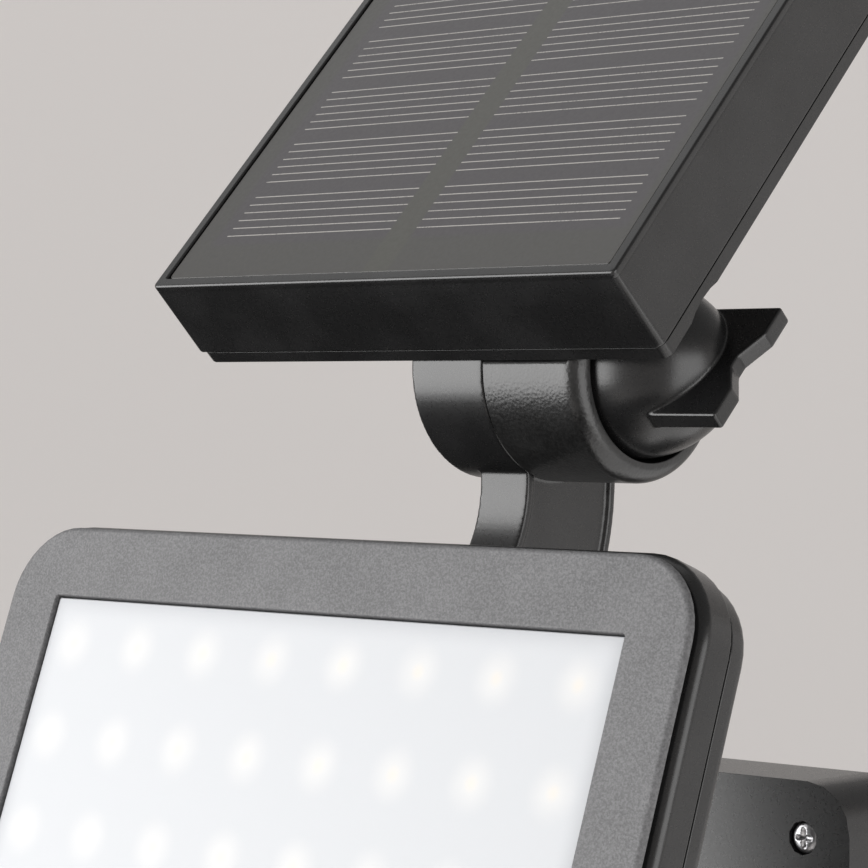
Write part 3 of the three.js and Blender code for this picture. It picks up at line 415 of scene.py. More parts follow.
def filleted(points, steps=4):
    # a polyline of (x, y, radius) whose corners become arcs tangent to both sides; an arc is its middle
    # plus (sin((1 - t) turn) start + sin(t turn) end) / sin(turn)
    made = []
    count = len(points)
    for k, (x, y, radius) in enumerate(points):
        here = np.array([x, y])
        if radius <= 0 or k in (0, count - 1):
            made.append(here[None])
            continue
        before = np.array(points[k - 1][:2]) - here
        after = np.array(points[k + 1][:2]) - here
        a, b = before / np.linalg.norm(before), after / np.linalg.norm(after)
        half = math.acos(np.clip(a @ b, -1, 1)) / 2
        reach = radius / math.tan(half)
        centre = here + (a + b) / np.linalg.norm(a + b) * radius / math.sin(half)
        share = np.linspace(0, 1, steps + 1)[:, None]
        start, end = here + a * reach - centre, here + b * reach - centre
        turn = math.acos(np.clip(start @ end / radius ** 2, -1, 1))
        arc = np.sin((1 - share) * turn) * start + np.sin(share * turn) * end
        made.append(centre + arc / math.sin(turn))
    return np.concatenate(made)


def rectLoop(cx, cy, halfWide, halfHigh, corner, steps=10):
    # once round a rectangle: each corner's middle plus its radius times (cos, sin) over a quarter turn
    corner = min(corner, halfWide, halfHigh)
    quarter = np.repeat(np.arange(4), steps + 1)
    angle = (quarter + np.tile(np.linspace(0, 1, steps + 1), 4)) * math.pi / 2
    signX, signY = np.array([1, -1, -1, 1])[quarter], np.array([1, 1, -1, -1])[quarter]
    return np.stack([cx + signX * (halfWide - corner) + corner * np.cos(angle),
                     cy + signY * (halfHigh - corner) + corner * np.sin(angle)], 1)


def lofted(levels, upright, wrap=False, steps=10):
    # a skin through rectangles (cx, cy, half width, half height, corner, depth); upright says which way
    # the depth runs: "y" for outlines in x and z, "z" for outlines in x and y
    loops = [rectLoop(*level[:5], steps) for level in levels]
    flat = np.concatenate(loops)
    depth = np.repeat([level[5] for level in levels], len(loops[0]))
    columns = [flat[:, 0], depth, flat[:, 1]] if upright == "y" else [flat[:, 0], flat[:, 1], depth]
    return np.stack(columns, 1), gridFaces(len(levels), len(loops[0]), wrap)


def turned(profile, sides=96, wrap=False):
    # a profile of (x, radius) turned about X: (x, radius cos a, radius sin a)
    angle = np.linspace(0, 2 * math.pi, sides, endpoint=False)
    x, radius = (np.repeat(profile[:, k], sides) for k in (0, 1))
    around = np.tile(angle, len(profile))
    return np.stack([x, radius * np.cos(around), radius * np.sin(around)], 1), gridFaces(
        len(profile), sides, wrap)


def triangles(shell):
    # the same skin with every four-sided face split in two
    points, faces = shell
    return points, np.concatenate([faces[:, [0, 1, 2]], faces[:, [0, 2, 3]]])


def skinOf(piece):
    # a loose object's triangles as a shell again; the object goes
    work = bmesh.new()
    work.from_mesh(piece.data)
    bmesh.ops.triangulate(work, faces=work.faces[:])
    bmesh.ops.recalc_face_normals(work, faces=work.faces[:])
    work.to_mesh(piece.data)
    work.free()
    points = np.empty(len(piece.data.vertices) * 3)
    piece.data.vertices.foreach_get("co", points)
    corners = np.empty(len(piece.data.polygons) * 3, int)
    piece.data.polygons.foreach_get("vertices", corners)
    bpy.data.objects.remove(piece)
    return points.reshape(-1, 3), corners.reshape(-1, 3)


def moved(shell, order=(0, 1, 2), signs=(1, 1, 1), shift=(0, 0, 0)):
    # the shell with its axes in another order, mirrored by signs and shifted
    return shell[0][:, list(order)] * np.array(signs, float) + np.array(shift, float), shell[1]


def placed(shell, place):
    # the shell taken from a turned frame into the scene
    return place.toWorld(shell[0]), shell[1]


def meshOf(name, shells):
    # several shells in one mesh
    points, faces, start = [], [], 0
    for shellPoints, shellFaces in shells:
        points.append(shellPoints)
        faces.append(shellFaces + start)
        start += len(shellPoints)
    mesh = bpy.data.meshes.new(name)
    mesh.from_pydata(np.concatenate(points).tolist(), [], np.concatenate(faces).tolist())
    return mesh


def closed(mesh, merge=1e-6, dissolve=0.0):
    # points that fall together are merged, and every face is turned outwards
    work = bmesh.new()
    work.from_mesh(mesh)
    bmesh.ops.remove_doubles(work, verts=work.verts[:], dist=merge)
    if dissolve:
        bmesh.ops.dissolve_limit(work, angle_limit=dissolve, verts=work.verts[:], edges=work.edges[:])
    bmesh.ops.recalc_face_normals(work, faces=work.faces[:])
    for face in work.faces:
        face.smooth = True
    work.to_mesh(mesh)
    work.free()
    return mesh


def looseObject(name, shells):
    # an object whose mesh is the shells, smooth and facing outwards
    piece = bpy.data.objects.new(name, closed(meshOf(name, shells)))
    bpy.context.scene.collection.objects.link(piece)
    return piece


def settled(piece):
    # the modifiers' result becomes the piece's own mesh
    bpy.context.view_layer.update()
    result = bpy.data.meshes.new_from_object(piece.evaluated_get(bpy.context.evaluated_depsgraph_get()))
    piece.modifiers.clear()
    piece.data = result
    return piece


def combined(piece, operation, shells):
    # joins or cuts the piece with closed shells
    tool = looseObject("tool", shells)
    change = piece.modifiers.new("combine", "BOOLEAN")
    change.operation, change.object, change.solver = operation, tool, "EXACT"
    settled(piece)
    bpy.data.objects.remove(tool)
    closed(piece.data)


def fused(name, shells, voxel, rounds):
    # overlapping closed shells become one moulded skin, with small fillets where they meet
    piece = looseObject(name, shells)
    skin = piece.modifiers.new("skin", "REMESH")
    skin.mode, skin.voxel_size, skin.use_smooth_shade = "VOXEL", voxel * toMetres, True
    soften = piece.modifiers.new("soften", "SMOOTH")
    soften.factor, soften.iterations = 0.5, rounds
    return settled(piece)


def finishPiece(piece, body, node, weighted=True):
    # the finish of the node that the piece replaces, and the body that it rides on
    slotName = slotOf[node]
    piece.data.materials.clear()
    piece.data.materials.append(finishes[slotName])
    if weighted:
        normals = piece.modifiers.new("normals", "WEIGHTED_NORMAL")
        normals.weight, normals.keep_sharp = 100, False
    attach(piece, body)
    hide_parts(node)


roundedLook = dict(merge=0.02, flat=0.4, segments=2, sharpest=30)
roundedEdges = dict(panel_back_cover=0.6, solar_laminate=0.2, wall_base=0.7, wall_plate=0.3, lower_bolt=0.35,
                    upper_bolt=0.35, lower_washer=0.15, upper_bolt_cap=0.35)


def makeRounded(node, bevel):
    # a merged copy of a CAD piece whose sharp edges are rounded by that many millimetres
    look = roundedLook
    piece = bpy.data.objects.new(pieceName(node), frame["nodes"][node].data.copy())
    bpy.context.scene.collection.objects.link(piece)
    closed(piece.data, look["merge"] * toMetres, math.radians(look["flat"]))
    edges = piece.modifiers.new("edges", "BEVEL")
    edges.width, edges.segments = bevel * toMetres, look["segments"]
    edges.limit_method, edges.angle_limit = "ANGLE", math.radians(look["sharpest"])
    edges.use_clamp_overlap = True
    finishPiece(piece, bodyOf[node], node)


def pieceName(node):
    # some_cad_node becomes someCadNode
    first, *rest = node.split("_")
    return first + "".join(word.capitalize() for word in rest)


slotOf = {part["node"]: part["material_slot"] for part in frame["record"]["subparts"]}
bodyOf = {node: body for body, nodes in frame["record"]["behaviour"]["bodies"].items() for node in nodes}


clearance = 0.3  # between neighbouring pieces
domeLook = dict(shell=1.0, flange=2.0)
bezelLook = dict(side=13, top=13.4, windowHeight=88, corner=14, edge=1.0, windowEdge=0.35, plate=2.5,
                 thickness=1.2, rimInset=1.6, rimWall=2, rimDepth=4, seam=9.1, windowSeam=3, windowCorner=0.5,
                 holeBevel=0.5, holeReach=6)


def headSize():
    # the head's outline, taken from the bezel; face is the depth of its front
    low, high = headPlace.span("front_bezel")
    return dict(face=low[1], middle=(low[2] + high[2]) / 2, wide=high[0], high=(high[2] - low[2]) / 2,
                top=high[2])


def windowSize():
    # the window's outline in the bezel
    head = headSize()
    top = head["top"] - bezelLook["top"]
    return dict(wide=head["wide"] - bezelLook["side"], high=bezelLook["windowHeight"] / 2, top=top,
                middle=top - bezelLook["windowHeight"] / 2)


def outlineLevels(profile, wide, high, middle, corner, face):
    # levels of a loft from a profile of (inset, depth): every outline is the first one moved in by inset
    return [(0, middle, wide - inset, high - inset, max(corner - inset, 0.35), face + depth)
            for inset, depth in profile]


def headLevels(profile):
    # levels along the head's outline
    head = headSize()
    return outlineLevels(profile, head["wide"], head["high"], head["middle"],
                         bezelLook["corner"], head["face"])


def windowLevels(profile):
    # levels along the window's outline
    window = windowSize()
    return outlineLevels(profile, window["wide"], window["high"], window["middle"],
                         bezelLook["windowCorner"], headSize()["face"])


def makeBezel():
    # one closed band: round the face's outer edge, back to the rim, and forward again to the window
    look = bezelLook
    rim, rimIn, plate = look["rimInset"], look["rimInset"] + look["rimWall"], look["plate"]
    outer = filleted([(look["seam"], 0, 0), (0, 0, look["edge"]), (0, look["thickness"], 0.12),
                      (rim, look["thickness"], 0), (rim, look["rimDepth"], 0.2),
                      (rimIn, look["rimDepth"], 0.2), (rimIn, plate, 0), (look["seam"], plate, 0)], 5)
    inner = filleted([(-look["windowSeam"], plate, 0), (0, plate, 0.15), (0, 0, look["windowEdge"]),
                      (-look["windowSeam"], 0, 0)], 4)
    shell = lofted(headLevels(outer) + windowLevels(inner), "y", wrap=True)
    piece = looseObject("frontBezel", [placed(shell, headPlace)])
    low, high = headPlace.span("sensor_dome")
    radius = (high[0] - low[0]) / 2 - domeLook["flange"] + clearance
    centre = (low[2] + high[2]) / 2
    far, bevel = look["holeReach"], look["holeBevel"]
    hole = turned(np.array([(-far, 0), (-far, radius + 5), (0, radius + bevel), (bevel, radius),
                            (far, radius), (far, 0)]), 64)
    face = headSize()["face"]
    combined(piece, "DIFFERENCE", [placed(moved(hole, (1, 0, 2), (1, 1, 1), (0, face, centre)), headPlace)])
    finishPiece(piece, "head", "front_bezel")


ringLook = dict(front=2.0, back=0.5, wall=2.4, flare=1.1)


def makeRing():
    # a closed band round the head's outline, standing out from it by the flare
    look = ringLook
    low, high = headPlace.span("body_ring")
    face = headSize()["face"]
    front, back = low[1] - face, high[1] - face
    flare = look["flare"]
    inside, middle = look["wall"] - flare, (front + back) / 2
    profile = filleted([(inside, middle, 0), (inside, front, 0.4), (-flare, front, look["front"]),
                        (-flare, back, look["back"]), (inside, back, 0.3), (inside, middle, 0)], 6)
    piece = looseObject("bodyRing", [placed(lofted(headLevels(profile[:-1]), "y", wrap=True), headPlace)])
    finishPiece(piece, "head", "body_ring")


lensBlockLook = dict(edge=0.3, flangeFront=2.8, flangeEdge=0.2, inside=20)


def makeLens():
    # a block that fills the window, with a flange behind the bezel's plate
    look = lensBlockLook
    low, high = headPlace.span("diffuser_lens")
    face = headSize()["face"]
    front, back = low[1] - face, high[1] - face
    wide = high[0] - windowSize()["wide"]
    inside, flange = look["inside"], look["flangeFront"]
    profile = filleted([(inside, front, 0), (clearance, front, look["edge"]), (clearance, flange, 0),
                        (-wide, flange, look["flangeEdge"]), (-wide, back, look["flangeEdge"]),
                        (inside, back, 0)], 3)
    piece = looseObject("diffuserLens", [placed(lofted(windowLevels(profile), "y"), headPlace)])
    closeEnds(piece)
    finishPiece(piece, "head", "diffuser_lens")


def fillHoles(work):
    # a flat face in each open edge loop
    bmesh.ops.holes_fill(work, edges=[edge for edge in work.edges if edge.is_boundary], sides=0)


def closeEnds(piece):
    # open ends of a loft get one flat face each
    work = bmesh.new()
    work.from_mesh(piece.data)
    fillHoles(work)
    bmesh.ops.recalc_face_normals(work, faces=work.faces[:])
    for one in work.faces:
        one.smooth = True
    work.to_mesh(piece.data)
    work.free()


def discShape(radius, x0, x1, edge, sides):
    # a closed disc on the X axis with rounded rims
    return turned(filleted([(x0, 0, 0), (x0, radius, edge), (x1, radius, edge), (x1, 0, 0)], 4), sides)


def slabShape(outline, x0, x1, edge):
    # a flat outline (y, z) given a thickness along X; its rim is rounded by drawing the outline in
    outline = np.asarray(outline, float)
    centre = outline.mean(0)
    step = np.roll(outline, -1, 0) - np.roll(outline, 1, 0)
    outward = np.stack([step[:, 1], -step[:, 0]], 1) / np.maximum(np.linalg.norm(step, axis=1), 1e-9)[:, None]
    outward *= np.sign(((outline - centre) * outward).sum())
    angle = np.linspace(0, math.pi / 2, 5)
    rim = [(edge * (1 - math.sin(a)), x0 + edge * (1 - math.cos(a))) for a in angle]
    rim += [(inset, x1 + x0 - x) for inset, x in reversed(rim)]
    rows = [np.column_stack([np.full(len(outline), x), outline - outward * inset]) for inset, x in rim]
    ends = [np.column_stack([np.full(len(outline), x), np.tile(centre, (len(outline), 1))]) for x in (x0, x1)]
    grid = np.concatenate([ends[0], *rows, ends[1]])
    return grid, gridFaces(len(rows) + 2, len(outline))


def lugOutline(radius, depth, high, steps=40):
    # half a circle, radius times (cos a, sin a), run on to a straight root
    angle = np.linspace(-math.pi / 2, math.pi / 2, steps)
    arc = np.stack([radius * np.cos(angle), radius * np.sin(angle)], 1)
    return np.concatenate([arc, [(depth, high), (depth, -high)]])


housingLook = dict(shell=5, wall=2.4, edge=2.6, lipEdge=0.3, innerEdge=0.8, seam=2.5, middle=20,
                   bayMiddle=18, bayWide=46, bayHigh=27, bayCorner=6, bayEdge=2.2, bayFoot=1.6, bayWall=2.2,
                   bayInner=1, earSink=1, earEdge=0.8, boltHole=3.3, hexHole=6.0, hexDepth=4.3,
                   pressInset=0.7)


def makeHousing():
    # from the middle of the bay's back out to the lip and in again along the inside, with two clamp ears
    look = housingLook
    low, high = headPlace.span("rear_housing")
    face = headSize()["face"]
    front = low[1] - face
    back = front + look["shell"]
    wall, bayWall, seam = look["wall"], look["bayWall"], -look["seam"]
    bayBack = headPlace.span("battery_holder")[1][1] - face + clearance + bayWall

    def bay(profile):
        return [(0, 0, look["bayWide"] - inset, look["bayHigh"] - inset, max(look["bayCorner"] - inset, 0.5),
                 face + depth) for inset, depth in profile]

    far, bayFar = look["middle"], look["bayMiddle"]
    inside, bayInside = back - wall, bayBack - bayWall
    outside = filleted([(far, back, 0), (0, back, look["edge"]), (0, front, look["lipEdge"]),
                        (wall, front, look["lipEdge"]), (wall, inside, look["innerEdge"]),
                        (far, inside, 0)], 6)
    bayOut = filleted([(bayFar, bayBack, 0), (0, bayBack, look["bayEdge"]), (0, back, look["bayFoot"]),
                       (seam, back, 0)], 6)
    bayIn = filleted([(seam, inside, 0), (bayWall, inside, 0), (bayWall, bayInside, look["bayInner"]),
                      (bayFar, bayInside, 0)], 4)
    shell = lofted(bay(bayOut) + headLevels(outside) + bay(bayIn), "y")
    piece = looseObject("rearHousing", [placed(shell, headPlace)])
    closeEnds(piece)
    inner = headPlace.span("lower_friction_ring_right")[1][0] + clearance
    outer = headPlace.span("lower_washer")[0][0] - clearance
    radius = high[1]
    ears = []
    for side in (-1, 1):
        root = bayBack + face - look["earSink"]
        ear = slabShape(lugOutline(radius, root, radius), inner, outer, look["earEdge"])
        ears.append(placed(moved(ear, (0, 1, 2), (side, 1, 1)), headPlace))
    combined(piece, "UNION", ears)
    hole = discShape(look["boltHole"], -outer - 1, outer + 1, 0.1, 32)
    hex0, hex1 = -outer - 1, -outer + look["hexDepth"]
    pocket = turned(np.array([(hex0, 0), (hex0, look["hexHole"]), (hex1, look["hexHole"]), (hex1, 0)]), 6)
    press = headPlace.span("mode_button")
    pressHole = discShape((press[1][0] - press[0][0]) / 2 - look["pressInset"], -3, 3, 0.1, 48)
    pressAt = ((press[0][0] + press[1][0]) / 2, (press[0][1] + press[1][1]) / 2, -look["bayHigh"])
    combined(piece, "DIFFERENCE", [placed(shape, headPlace) for shape in (
        hole, pocket, moved(pressHole, (1, 2, 0), (1, 1, 1), pressAt))])
    finishPiece(piece, "head", "rear_housing")


bracketLook = dict(reach=21.9, cup=16.6, roll=3.4, bore=3.3, ringPocket=11.3, cutWide=30, cutHigh=12)
armLook = dict(wide=11.6, front=7.9, back=16.4, straight=20, bend=24, turn=104, frontRim=1.9, rearRim=1.7,
               recess=0.9, start=10, edge=0.5, rimEdge=0.25, recessEdge=0.3, discEdge=0.45, footEdge=0.9,
               footThick=3.2, footCorner=4, footSink=0.4, hexDepth=4.6, hexHole=6.1, voxel=0.38, rounds=3)


def makeArm():
    # the blade's section is carried straight down and then round its bend; disc, blade and foot fuse
    look = armLook
    foot = headPlace.span("arm_seal")
    footFront = foot[1][1] + clearance
    seam = armPlace.span("panel_bracket")[0][0] - clearance
    radius = armPlace.span("elbow_arm")[1][2]
    half, depth = look["wide"] / 2, look["back"] + look["front"]
    web, rimEdge, webEdge = half - look["recess"], look["rimEdge"], look["recessEdge"]
    front, rear = look["frontRim"], depth - look["rearRim"]
    section = filleted([
        (-half, 0, 0), (half, 0, look["edge"]), (half, front, rimEdge), (web, front, webEdge),
        (web, rear, webEdge), (half, rear, rimEdge), (half, depth, look["edge"]),
        (-half, depth, look["edge"]), (-half, rear, rimEdge), (-web, rear, webEdge),
        (-web, front, webEdge), (-half, front, rimEdge), (-half, 0, 0)], 3)[:-1]
    bend = np.linspace(0, math.radians(look["turn"]), 72)
    angle = np.concatenate([[0, 0], bend])
    drop = np.concatenate([[look["start"], (look["start"] + look["straight"]) / 2],
                           np.full(len(bend), look["straight"])])
    reach = look["bend"] + section[:, 1]
    y = -(look["front"] + look["bend"]) + np.outer(np.cos(angle), reach)
    z = -drop[:, None] - np.outer(np.sin(angle), reach)
    x = np.broadcast_to(seam - half + section[:, 0], y.shape)
    blade = looseObject("blade", [placed((np.stack([x, y, z], 2).reshape(-1, 3),
                                          gridFaces(len(angle), len(section))), armPlace)])
    work = bmesh.new()
    work.from_mesh(blade.data)
    plane = headPlace.toWorld([0, footFront + look["footSink"], 0])
    bmesh.ops.bisect_plane(work, geom=work.verts[:] + work.edges[:] + work.faces[:], plane_co=plane,
                           plane_no=headPlace.axes[:, 1], clear_inner=True)
    fillHoles(work)
    work.to_mesh(blade.data)
    work.free()

    bore, ringPocket, hexHole = bracketLook["bore"], bracketLook["ringPocket"], look["hexHole"]
    cap = armPlace.span("upper_bolt_cap")
    discLeft, capX, capRadius = cap[0][0], cap[1][0] + clearance, cap[1][2] + clearance
    headEnd = capX + look["hexDepth"]
    disc = turned(filleted([
        (capX, capRadius, 0), (discLeft, capRadius, 0.3), (discLeft, radius, look["discEdge"]),
        (seam, radius, look["discEdge"]), (seam, ringPocket, 0.2), (seam - 1, ringPocket, 0),
        (seam - 1, bore, 0), (headEnd, bore, 0), (headEnd, hexHole, 0), (capX, hexHole, 0),
        (capX, capRadius, 0)], 4)[:-1], 160, wrap=True)
    middleX, middleZ = ((foot[0][k] + foot[1][k]) / 2 for k in (0, 2))
    halfX, halfZ = ((foot[1][k] - foot[0][k]) / 2 + clearance for k in (0, 2))
    footRear = footFront + look["footThick"]
    profile = filleted([(halfX - 1, footFront, 0), (0, footFront, 0.4), (0, footRear, look["footEdge"]),
                        (halfX - 1, footRear, 0)], 4)
    footLevels = [(middleX, middleZ, halfX - inset, halfZ - inset, max(look["footCorner"] - inset, 0.3), at)
                  for inset, at in profile]
    footPiece = looseObject("foot", [placed(lofted(footLevels, "y"), headPlace)])
    closeEnds(footPiece)
    piece = fused("elbowArm", [triangles(placed(disc, armPlace)), skinOf(blade), skinOf(footPiece)],
                  look["voxel"], look["rounds"])
    finishPiece(piece, "head", "elbow_arm", weighted=False)


def makeBracket():
    # the barrel, its rolled end and the cup as one turned profile, cut flat under the back cover
    look = bracketLook
    low, high = panelPlace.span("panel_bracket")
    x0, radius = low[0], -low[2]
    end = x0 + look["reach"]
    cupFloor = panelPlace.span("upper_washer")[0][0] - clearance
    profile = filleted([
        (x0 + 1, look["bore"], 0), (x0 + 1, look["ringPocket"], 0), (x0, look["ringPocket"], 0.2),
        (x0, radius, 0.35), (end, radius, look["roll"]), (end, look["cup"], 0.25),
        (cupFloor, look["cup"], 0.6), (cupFloor, look["bore"], 0.2), (x0 + 1, look["bore"], 0)], 12)[:-1]
    piece = looseObject("panelBracket", [placed(turned(profile, 160, wrap=True), panelPlace)])
    top, wide, above = high[2], look["cutWide"], high[2] + look["cutHigh"]
    block = slabShape([(-wide, top), (wide, top), (wide, above), (-wide, above)], x0 - 10, end + 10, 0.1)
    combined(piece, "DIFFERENCE", [placed(block, panelPlace)])
    finishPiece(piece, "panel", "panel_bracket")


knobLook = dict(radius=16, length=19.1, start=1.5, root=5, span=13.1, notch=3.0, notchHalf=1.2, lean=45,
                thickness=3.3, edge=0.3, tipEdge=0.5, stepEdge=0.6, voxel=0.27, rounds=1, bore=3.3,
                pocket=6.1, pocketDepth=5.6, boreWall=3)


def makeKnob(node, body, place, size):
    # half an ellipsoid: (start + length sin a, radius cos a), with two wings in one plane fused on
    look = knobLook
    low = place.span(node)[0][0]
    first = -math.asin(look["start"] / look["length"])
    angle = np.linspace(first, math.pi / 2, 40)
    outside = np.stack([size * (look["start"] + look["length"] * np.sin(angle)),
                        size * look["radius"] * np.cos(angle)], 1)
    depth = size * look["length"] - look["boreWall"]
    inside = np.array([(depth, 0), (depth, look["bore"]), (look["pocketDepth"], look["bore"]),
                       (look["pocketDepth"], look["pocket"]), (0, look["pocket"])])
    shell = turned(np.concatenate([inside, outside]), 96)
    reach = place.span(node)[1][0] - low
    root, span, gap = (size * look[k] for k in ("root", "span", "notchHalf"))
    tip, step = size * look["tipEdge"], size * look["stepEdge"]
    notch = reach - size * look["notch"]
    outline = filleted([
        (root, 0, 0), (root, -span, 0.4), (reach, -span, tip), (reach, -span / 2, step), (notch, -gap, tip),
        (notch, gap, tip), (reach, span / 2, step), (reach, span, tip), (root, span, 0.4),
        (root, 0, 0)], 4)[:-1]
    half = size * look["thickness"] / 2
    slab = slabShape(outline, -half, half, size * look["edge"])
    tilt = Place(place.origin * toMetres, -math.radians(look["lean"]))
    dome = placed(moved(shell, shift=(low, 0, 0)), place)
    wings = placed(moved(slab, (1, 0, 2), shift=(low, 0, 0)), tilt)
    piece = fused(pieceName(node), [triangles(dome), triangles(wings)],
                  look["voxel"] * max(size, 0.85), look["rounds"])
    finishPiece(piece, body, node, weighted=False)


frameLook = dict(corner=1.0, draft=0.5, wall=2.2, ledge=3.8, ledgeThick=2, topEdge=0.5, bottomEdge=0.6,
                 innerEdge=0.35, lineDown=1.3, lineWide=0.3, lineDeep=0.14, seamUp=4)


def makeFrame():
    # the frame's section carried round the panel; its outer side leans out by -slope (top - z)
    look = frameLook
    low, high = panelPlace.span("panel_frame")
    middle = (low + high) / 2
    wide, deep = (high[0] - low[0]) / 2 - look["draft"], (high[1] - low[1]) / 2 - look["draft"]
    top, bottom = high[2], low[2]
    seat = panelPlace.span("panel_seal")[0][2] - clearance
    wall, ledge, under = look["wall"], look["wall"] + look["ledge"], seat - look["ledgeThick"]
    seam = bottom + look["seamUp"]
    line = top - look["lineDown"]
    lineEnd = line - look["lineWide"]
    slope = look["draft"] / (top - bottom)

    def outer(z):
        return -slope * (top - z)

    profile = filleted([
        (wall, seam, 0), (wall, bottom, look["innerEdge"]), (outer(bottom), bottom, look["bottomEdge"]),
        (outer(lineEnd), lineEnd, 0), (outer(line) + look["lineDeep"], (line + lineEnd) / 2, 0),
        (outer(line), line, 0), (0, top, look["topEdge"]), (wall, top, look["innerEdge"]), (wall, seat, 0),
        (ledge, seat, 0), (ledge, under, 0), (wall, under, 0), (wall, seam, 0)], 5)[:-1]
    levels = [(middle[0], middle[1], wide - inset, deep - inset, max(look["corner"] - inset, 0.3), z)
              for inset, z in profile]
    piece = looseObject("panelFrame", [placed(lofted(levels, "z", wrap=True, steps=6), panelPlace)])
    finishPiece(piece, "panel", "panel_frame")


screwLook = dict(head=3.0, thick=2.0, dome=0.7, shank=1.45, point=0.8, slot=0.75, slotReach=1.75,
                 slotDepth=1.1, rings=(0, 0.35, 0.7, 1.05, 1.4, 1.7, 1.9, 2.2, 2.6, 2.85), sides=48)
screwFacing = dict(panel=-1, bracket=1, base=-1, housing=1, arm=-1)


def makeScrew(node):
    # the head is a dome of height -dome (r / head)^4; a cross is pressed into it where |x| or |y| is under
    # half the slot; the shank ends in a point
    look = screwLook
    place = panelPlace if node.startswith(("panel", "bracket")) else (
        wallPlace if node.startswith("base") else headPlace)
    low, high = place.span(node)
    axis = 2 if place is panelPlace else 1
    middle = (low + high) / 2
    outward = screwFacing[node.split("_")[0]]
    top = high[axis] if outward > 0 else low[axis]
    end = low[axis] if outward > 0 else high[axis]
    length, sides = abs(top - end), look["sides"]
    rings = np.array([*look["rings"], look["head"]])
    around = np.linspace(0, 2 * math.pi, sides, endpoint=False)
    r, a = (grid.ravel() for grid in np.meshgrid(rings, around, indexing="ij"))
    x, y = r * np.cos(a), r * np.sin(a)
    height = -look["dome"] * (r / look["head"]) ** 4
    inCross = (np.minimum(abs(x), abs(y)) < look["slot"] / 2) & (r < look["slotReach"])
    height = np.where(inCross, -look["slotDepth"] * (1 - 0.35 * r / look["slotReach"]), height)
    rows = [np.stack([x, y, height], 1)]
    for radius, at in ((look["head"], -look["thick"]), (look["shank"], -look["thick"]),
                       (look["shank"], look["point"] - length), (0, -length)):
        rows.append(np.stack([radius * np.cos(around), radius * np.sin(around), np.full(sides, at)], 1))
    points = np.concatenate(rows)
    other = [k for k in (0, 1, 2) if k != axis]
    local = np.empty_like(points)
    local[:, other] = points[:, :2] + middle[other]
    local[:, axis] = top + outward * points[:, 2]
    piece = looseObject(pieceName(node), [(place.toWorld(local), gridFaces(len(rings) + 4, sides))])
    finishPiece(piece, bodyOf[node], node)


def makeDome():
    # a half ellipsoid (radius sin a, bulge cos a) with an inner skin one shell inside it, and its flange
    look = domeLook
    low, high = headPlace.span("sensor_dome")
    outer = (high[0] - low[0]) / 2 - look["flange"]
    seat = high[1] - look["shell"]
    bulge = seat - low[1]
    angle = np.linspace(0, math.pi / 2, 28)
    wave = np.stack([np.cos(angle), np.sin(angle)], 1)
    shell, brim = look["shell"], outer + look["flange"]
    flange = [(0, brim), (-shell, brim), (-shell, outer - shell)]
    profile = np.concatenate([wave * (bulge, outer), flange, wave[::-1] * (bulge - shell, outer - shell)])
    centre = (0, seat, (low[2] + high[2]) / 2)
    skin = moved(turned(profile, 96), (1, 0, 2), (1, -1, 1), centre)
    piece = looseObject("sensorDome", [placed(skin, headPlace)])
    finishPiece(piece, "head", "sensor_dome")


buttonLook = dict(dish=0.5, ringIn=2, ringOut=1.4, edge=0.5, flange=1, flangeThick=0.8)


def makeButton():
    # a rubber cap with a shallow dish and a raised ring, turned about the line that it is pressed along
    look = buttonLook
    low, high = headPlace.span("mode_button")
    middle = (low + high) / 2
    flange = (high[0] - low[0]) / 2
    cap = flange - look["flange"]
    bottom, top, seat = low[2], high[2], high[2] - look["flangeThick"]
    profile = filleted([
        (bottom + look["dish"], 0, 0), (bottom + 0.4, cap - look["ringIn"], 0.5),
        (bottom, cap - look["ringOut"], 0.4), (bottom, cap, look["edge"]), (seat, cap, 0),
        (seat, flange, 0.1), (top, flange, 0.1), (top, 0, 0)], 4)
    shell = moved(turned(profile, 64), (1, 2, 0), (1, 1, 1), (middle[0], middle[1], 0))
    piece = looseObject("modeButton", [placed(shell, headPlace)])
    finishPiece(piece, "button", "mode_button")


def floorHeight():
    # the floor lies the drop below the object's lowest point, in millimetres
    return cadBox[0][2] / toMetres - floorLook["drop"]


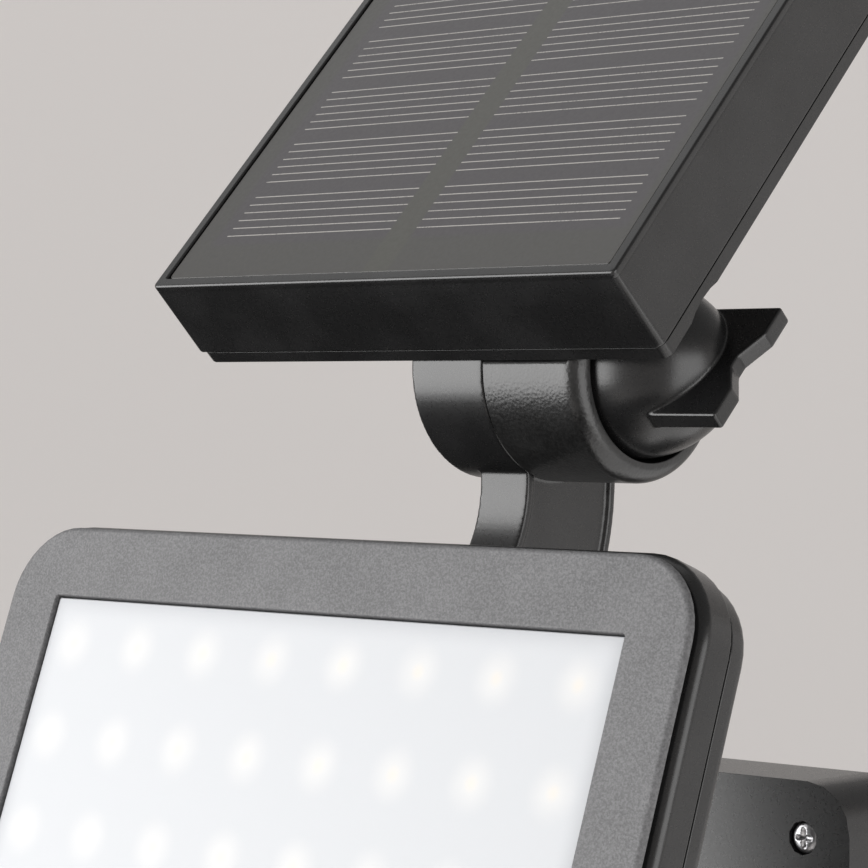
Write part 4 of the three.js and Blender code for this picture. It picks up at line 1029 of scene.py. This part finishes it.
def makeFloor():
    # a flat floor that turns up all round into a wall: (r, 0), then an arc, then straight up; the wall glows,
    # painted light by emission
    look = floorLook
    flat, bend = look["flat"], look["bend"]
    arc = np.linspace(0, math.pi / 2, 24)
    radius = np.concatenate([[0, flat / 2], flat + bend * np.sin(arc), [flat + bend]])
    height = np.concatenate([[0, 0], bend * (1 - np.cos(arc)), [look["height"]]]) + floorHeight()
    shell = moved(turned(np.stack([height, radius], 1), 96), (1, 2, 0))
    piece = looseObject("studioFloor", [placed(shell, wallPlace)])
    finish = Finish("studioPaint", look["colour"], 0.9, Specular_IOR_Level=0.1, Emission_Strength=1)
    x, y, _ = finish.along(wallPlace)
    # painted light: the emission rises from none near the object to the full wall glow far out, so the backdrop
    # looks lit while the floor near the object stays dim
    lit = (x * x + y * y).root().ramp(look["glowFrom"], look["glowTo"])
    finish.set(Emission_Color=finish.mix(lit, (0, 0, 0), look["wallGlow"]))
    piece.data.materials.append(finish.material)


def makeShade():
    # a dark sheet lying on the floor that only reflections see, painted shade in the reflections so that
    # undersides stay black
    look = shadeLook
    outline = rectLoop(*look["middle"], *look["half"], look["corner"])
    height = floorHeight() + look["above"]
    points = np.column_stack([outline, np.full(len(outline), height)]) * toMetres
    mesh = bpy.data.meshes.new("floorShade")
    mesh.from_pydata(points.tolist(), [], [list(range(len(points)))])
    piece = bpy.data.objects.new("floorShade", mesh)
    bpy.context.scene.collection.objects.link(piece)
    mesh.materials.append(Finish("shadeCloth", look["colour"], 0.9).material)
    piece.visible_camera = piece.visible_diffuse = piece.visible_shadow = piece.visible_transmission = False


makeCamera()
makeLights()
makeFloor()
makeShade()
print("studio made")
makeBezel()
makeRing()
finishes["frosted_diffuser"] = frostedLens()
makeLens()
makeHousing()
print("lamp head made")
makeArm()
makeBracket()
makeKnob("upper_wing_knob", "upper_knob", armPlace, 1)
makeKnob("lower_wing_knob", "lower_knob", Place(joints["head_tilt"]["pos_m"], 0), 0.78)
print("knuckles made")
makeFrame()
for node in [name for name in frame["nodes"] if "_screw_" in name]:
    makeScrew(node)
makeDome()
makeButton()
for node, bevel in roundedEdges.items():
    makeRounded(node, bevel)
print("panel and fastenings made")

for node, piece in frame["nodes"].items():
    if piece.hide_render:
        continue
    piece.data.materials.clear()
    piece.data.materials.append(finishes[slotOf[node]])
print("CAD pieces finished")

view = bpy.context.scene.view_settings
view.view_transform = "Standard"
view.look = "None"
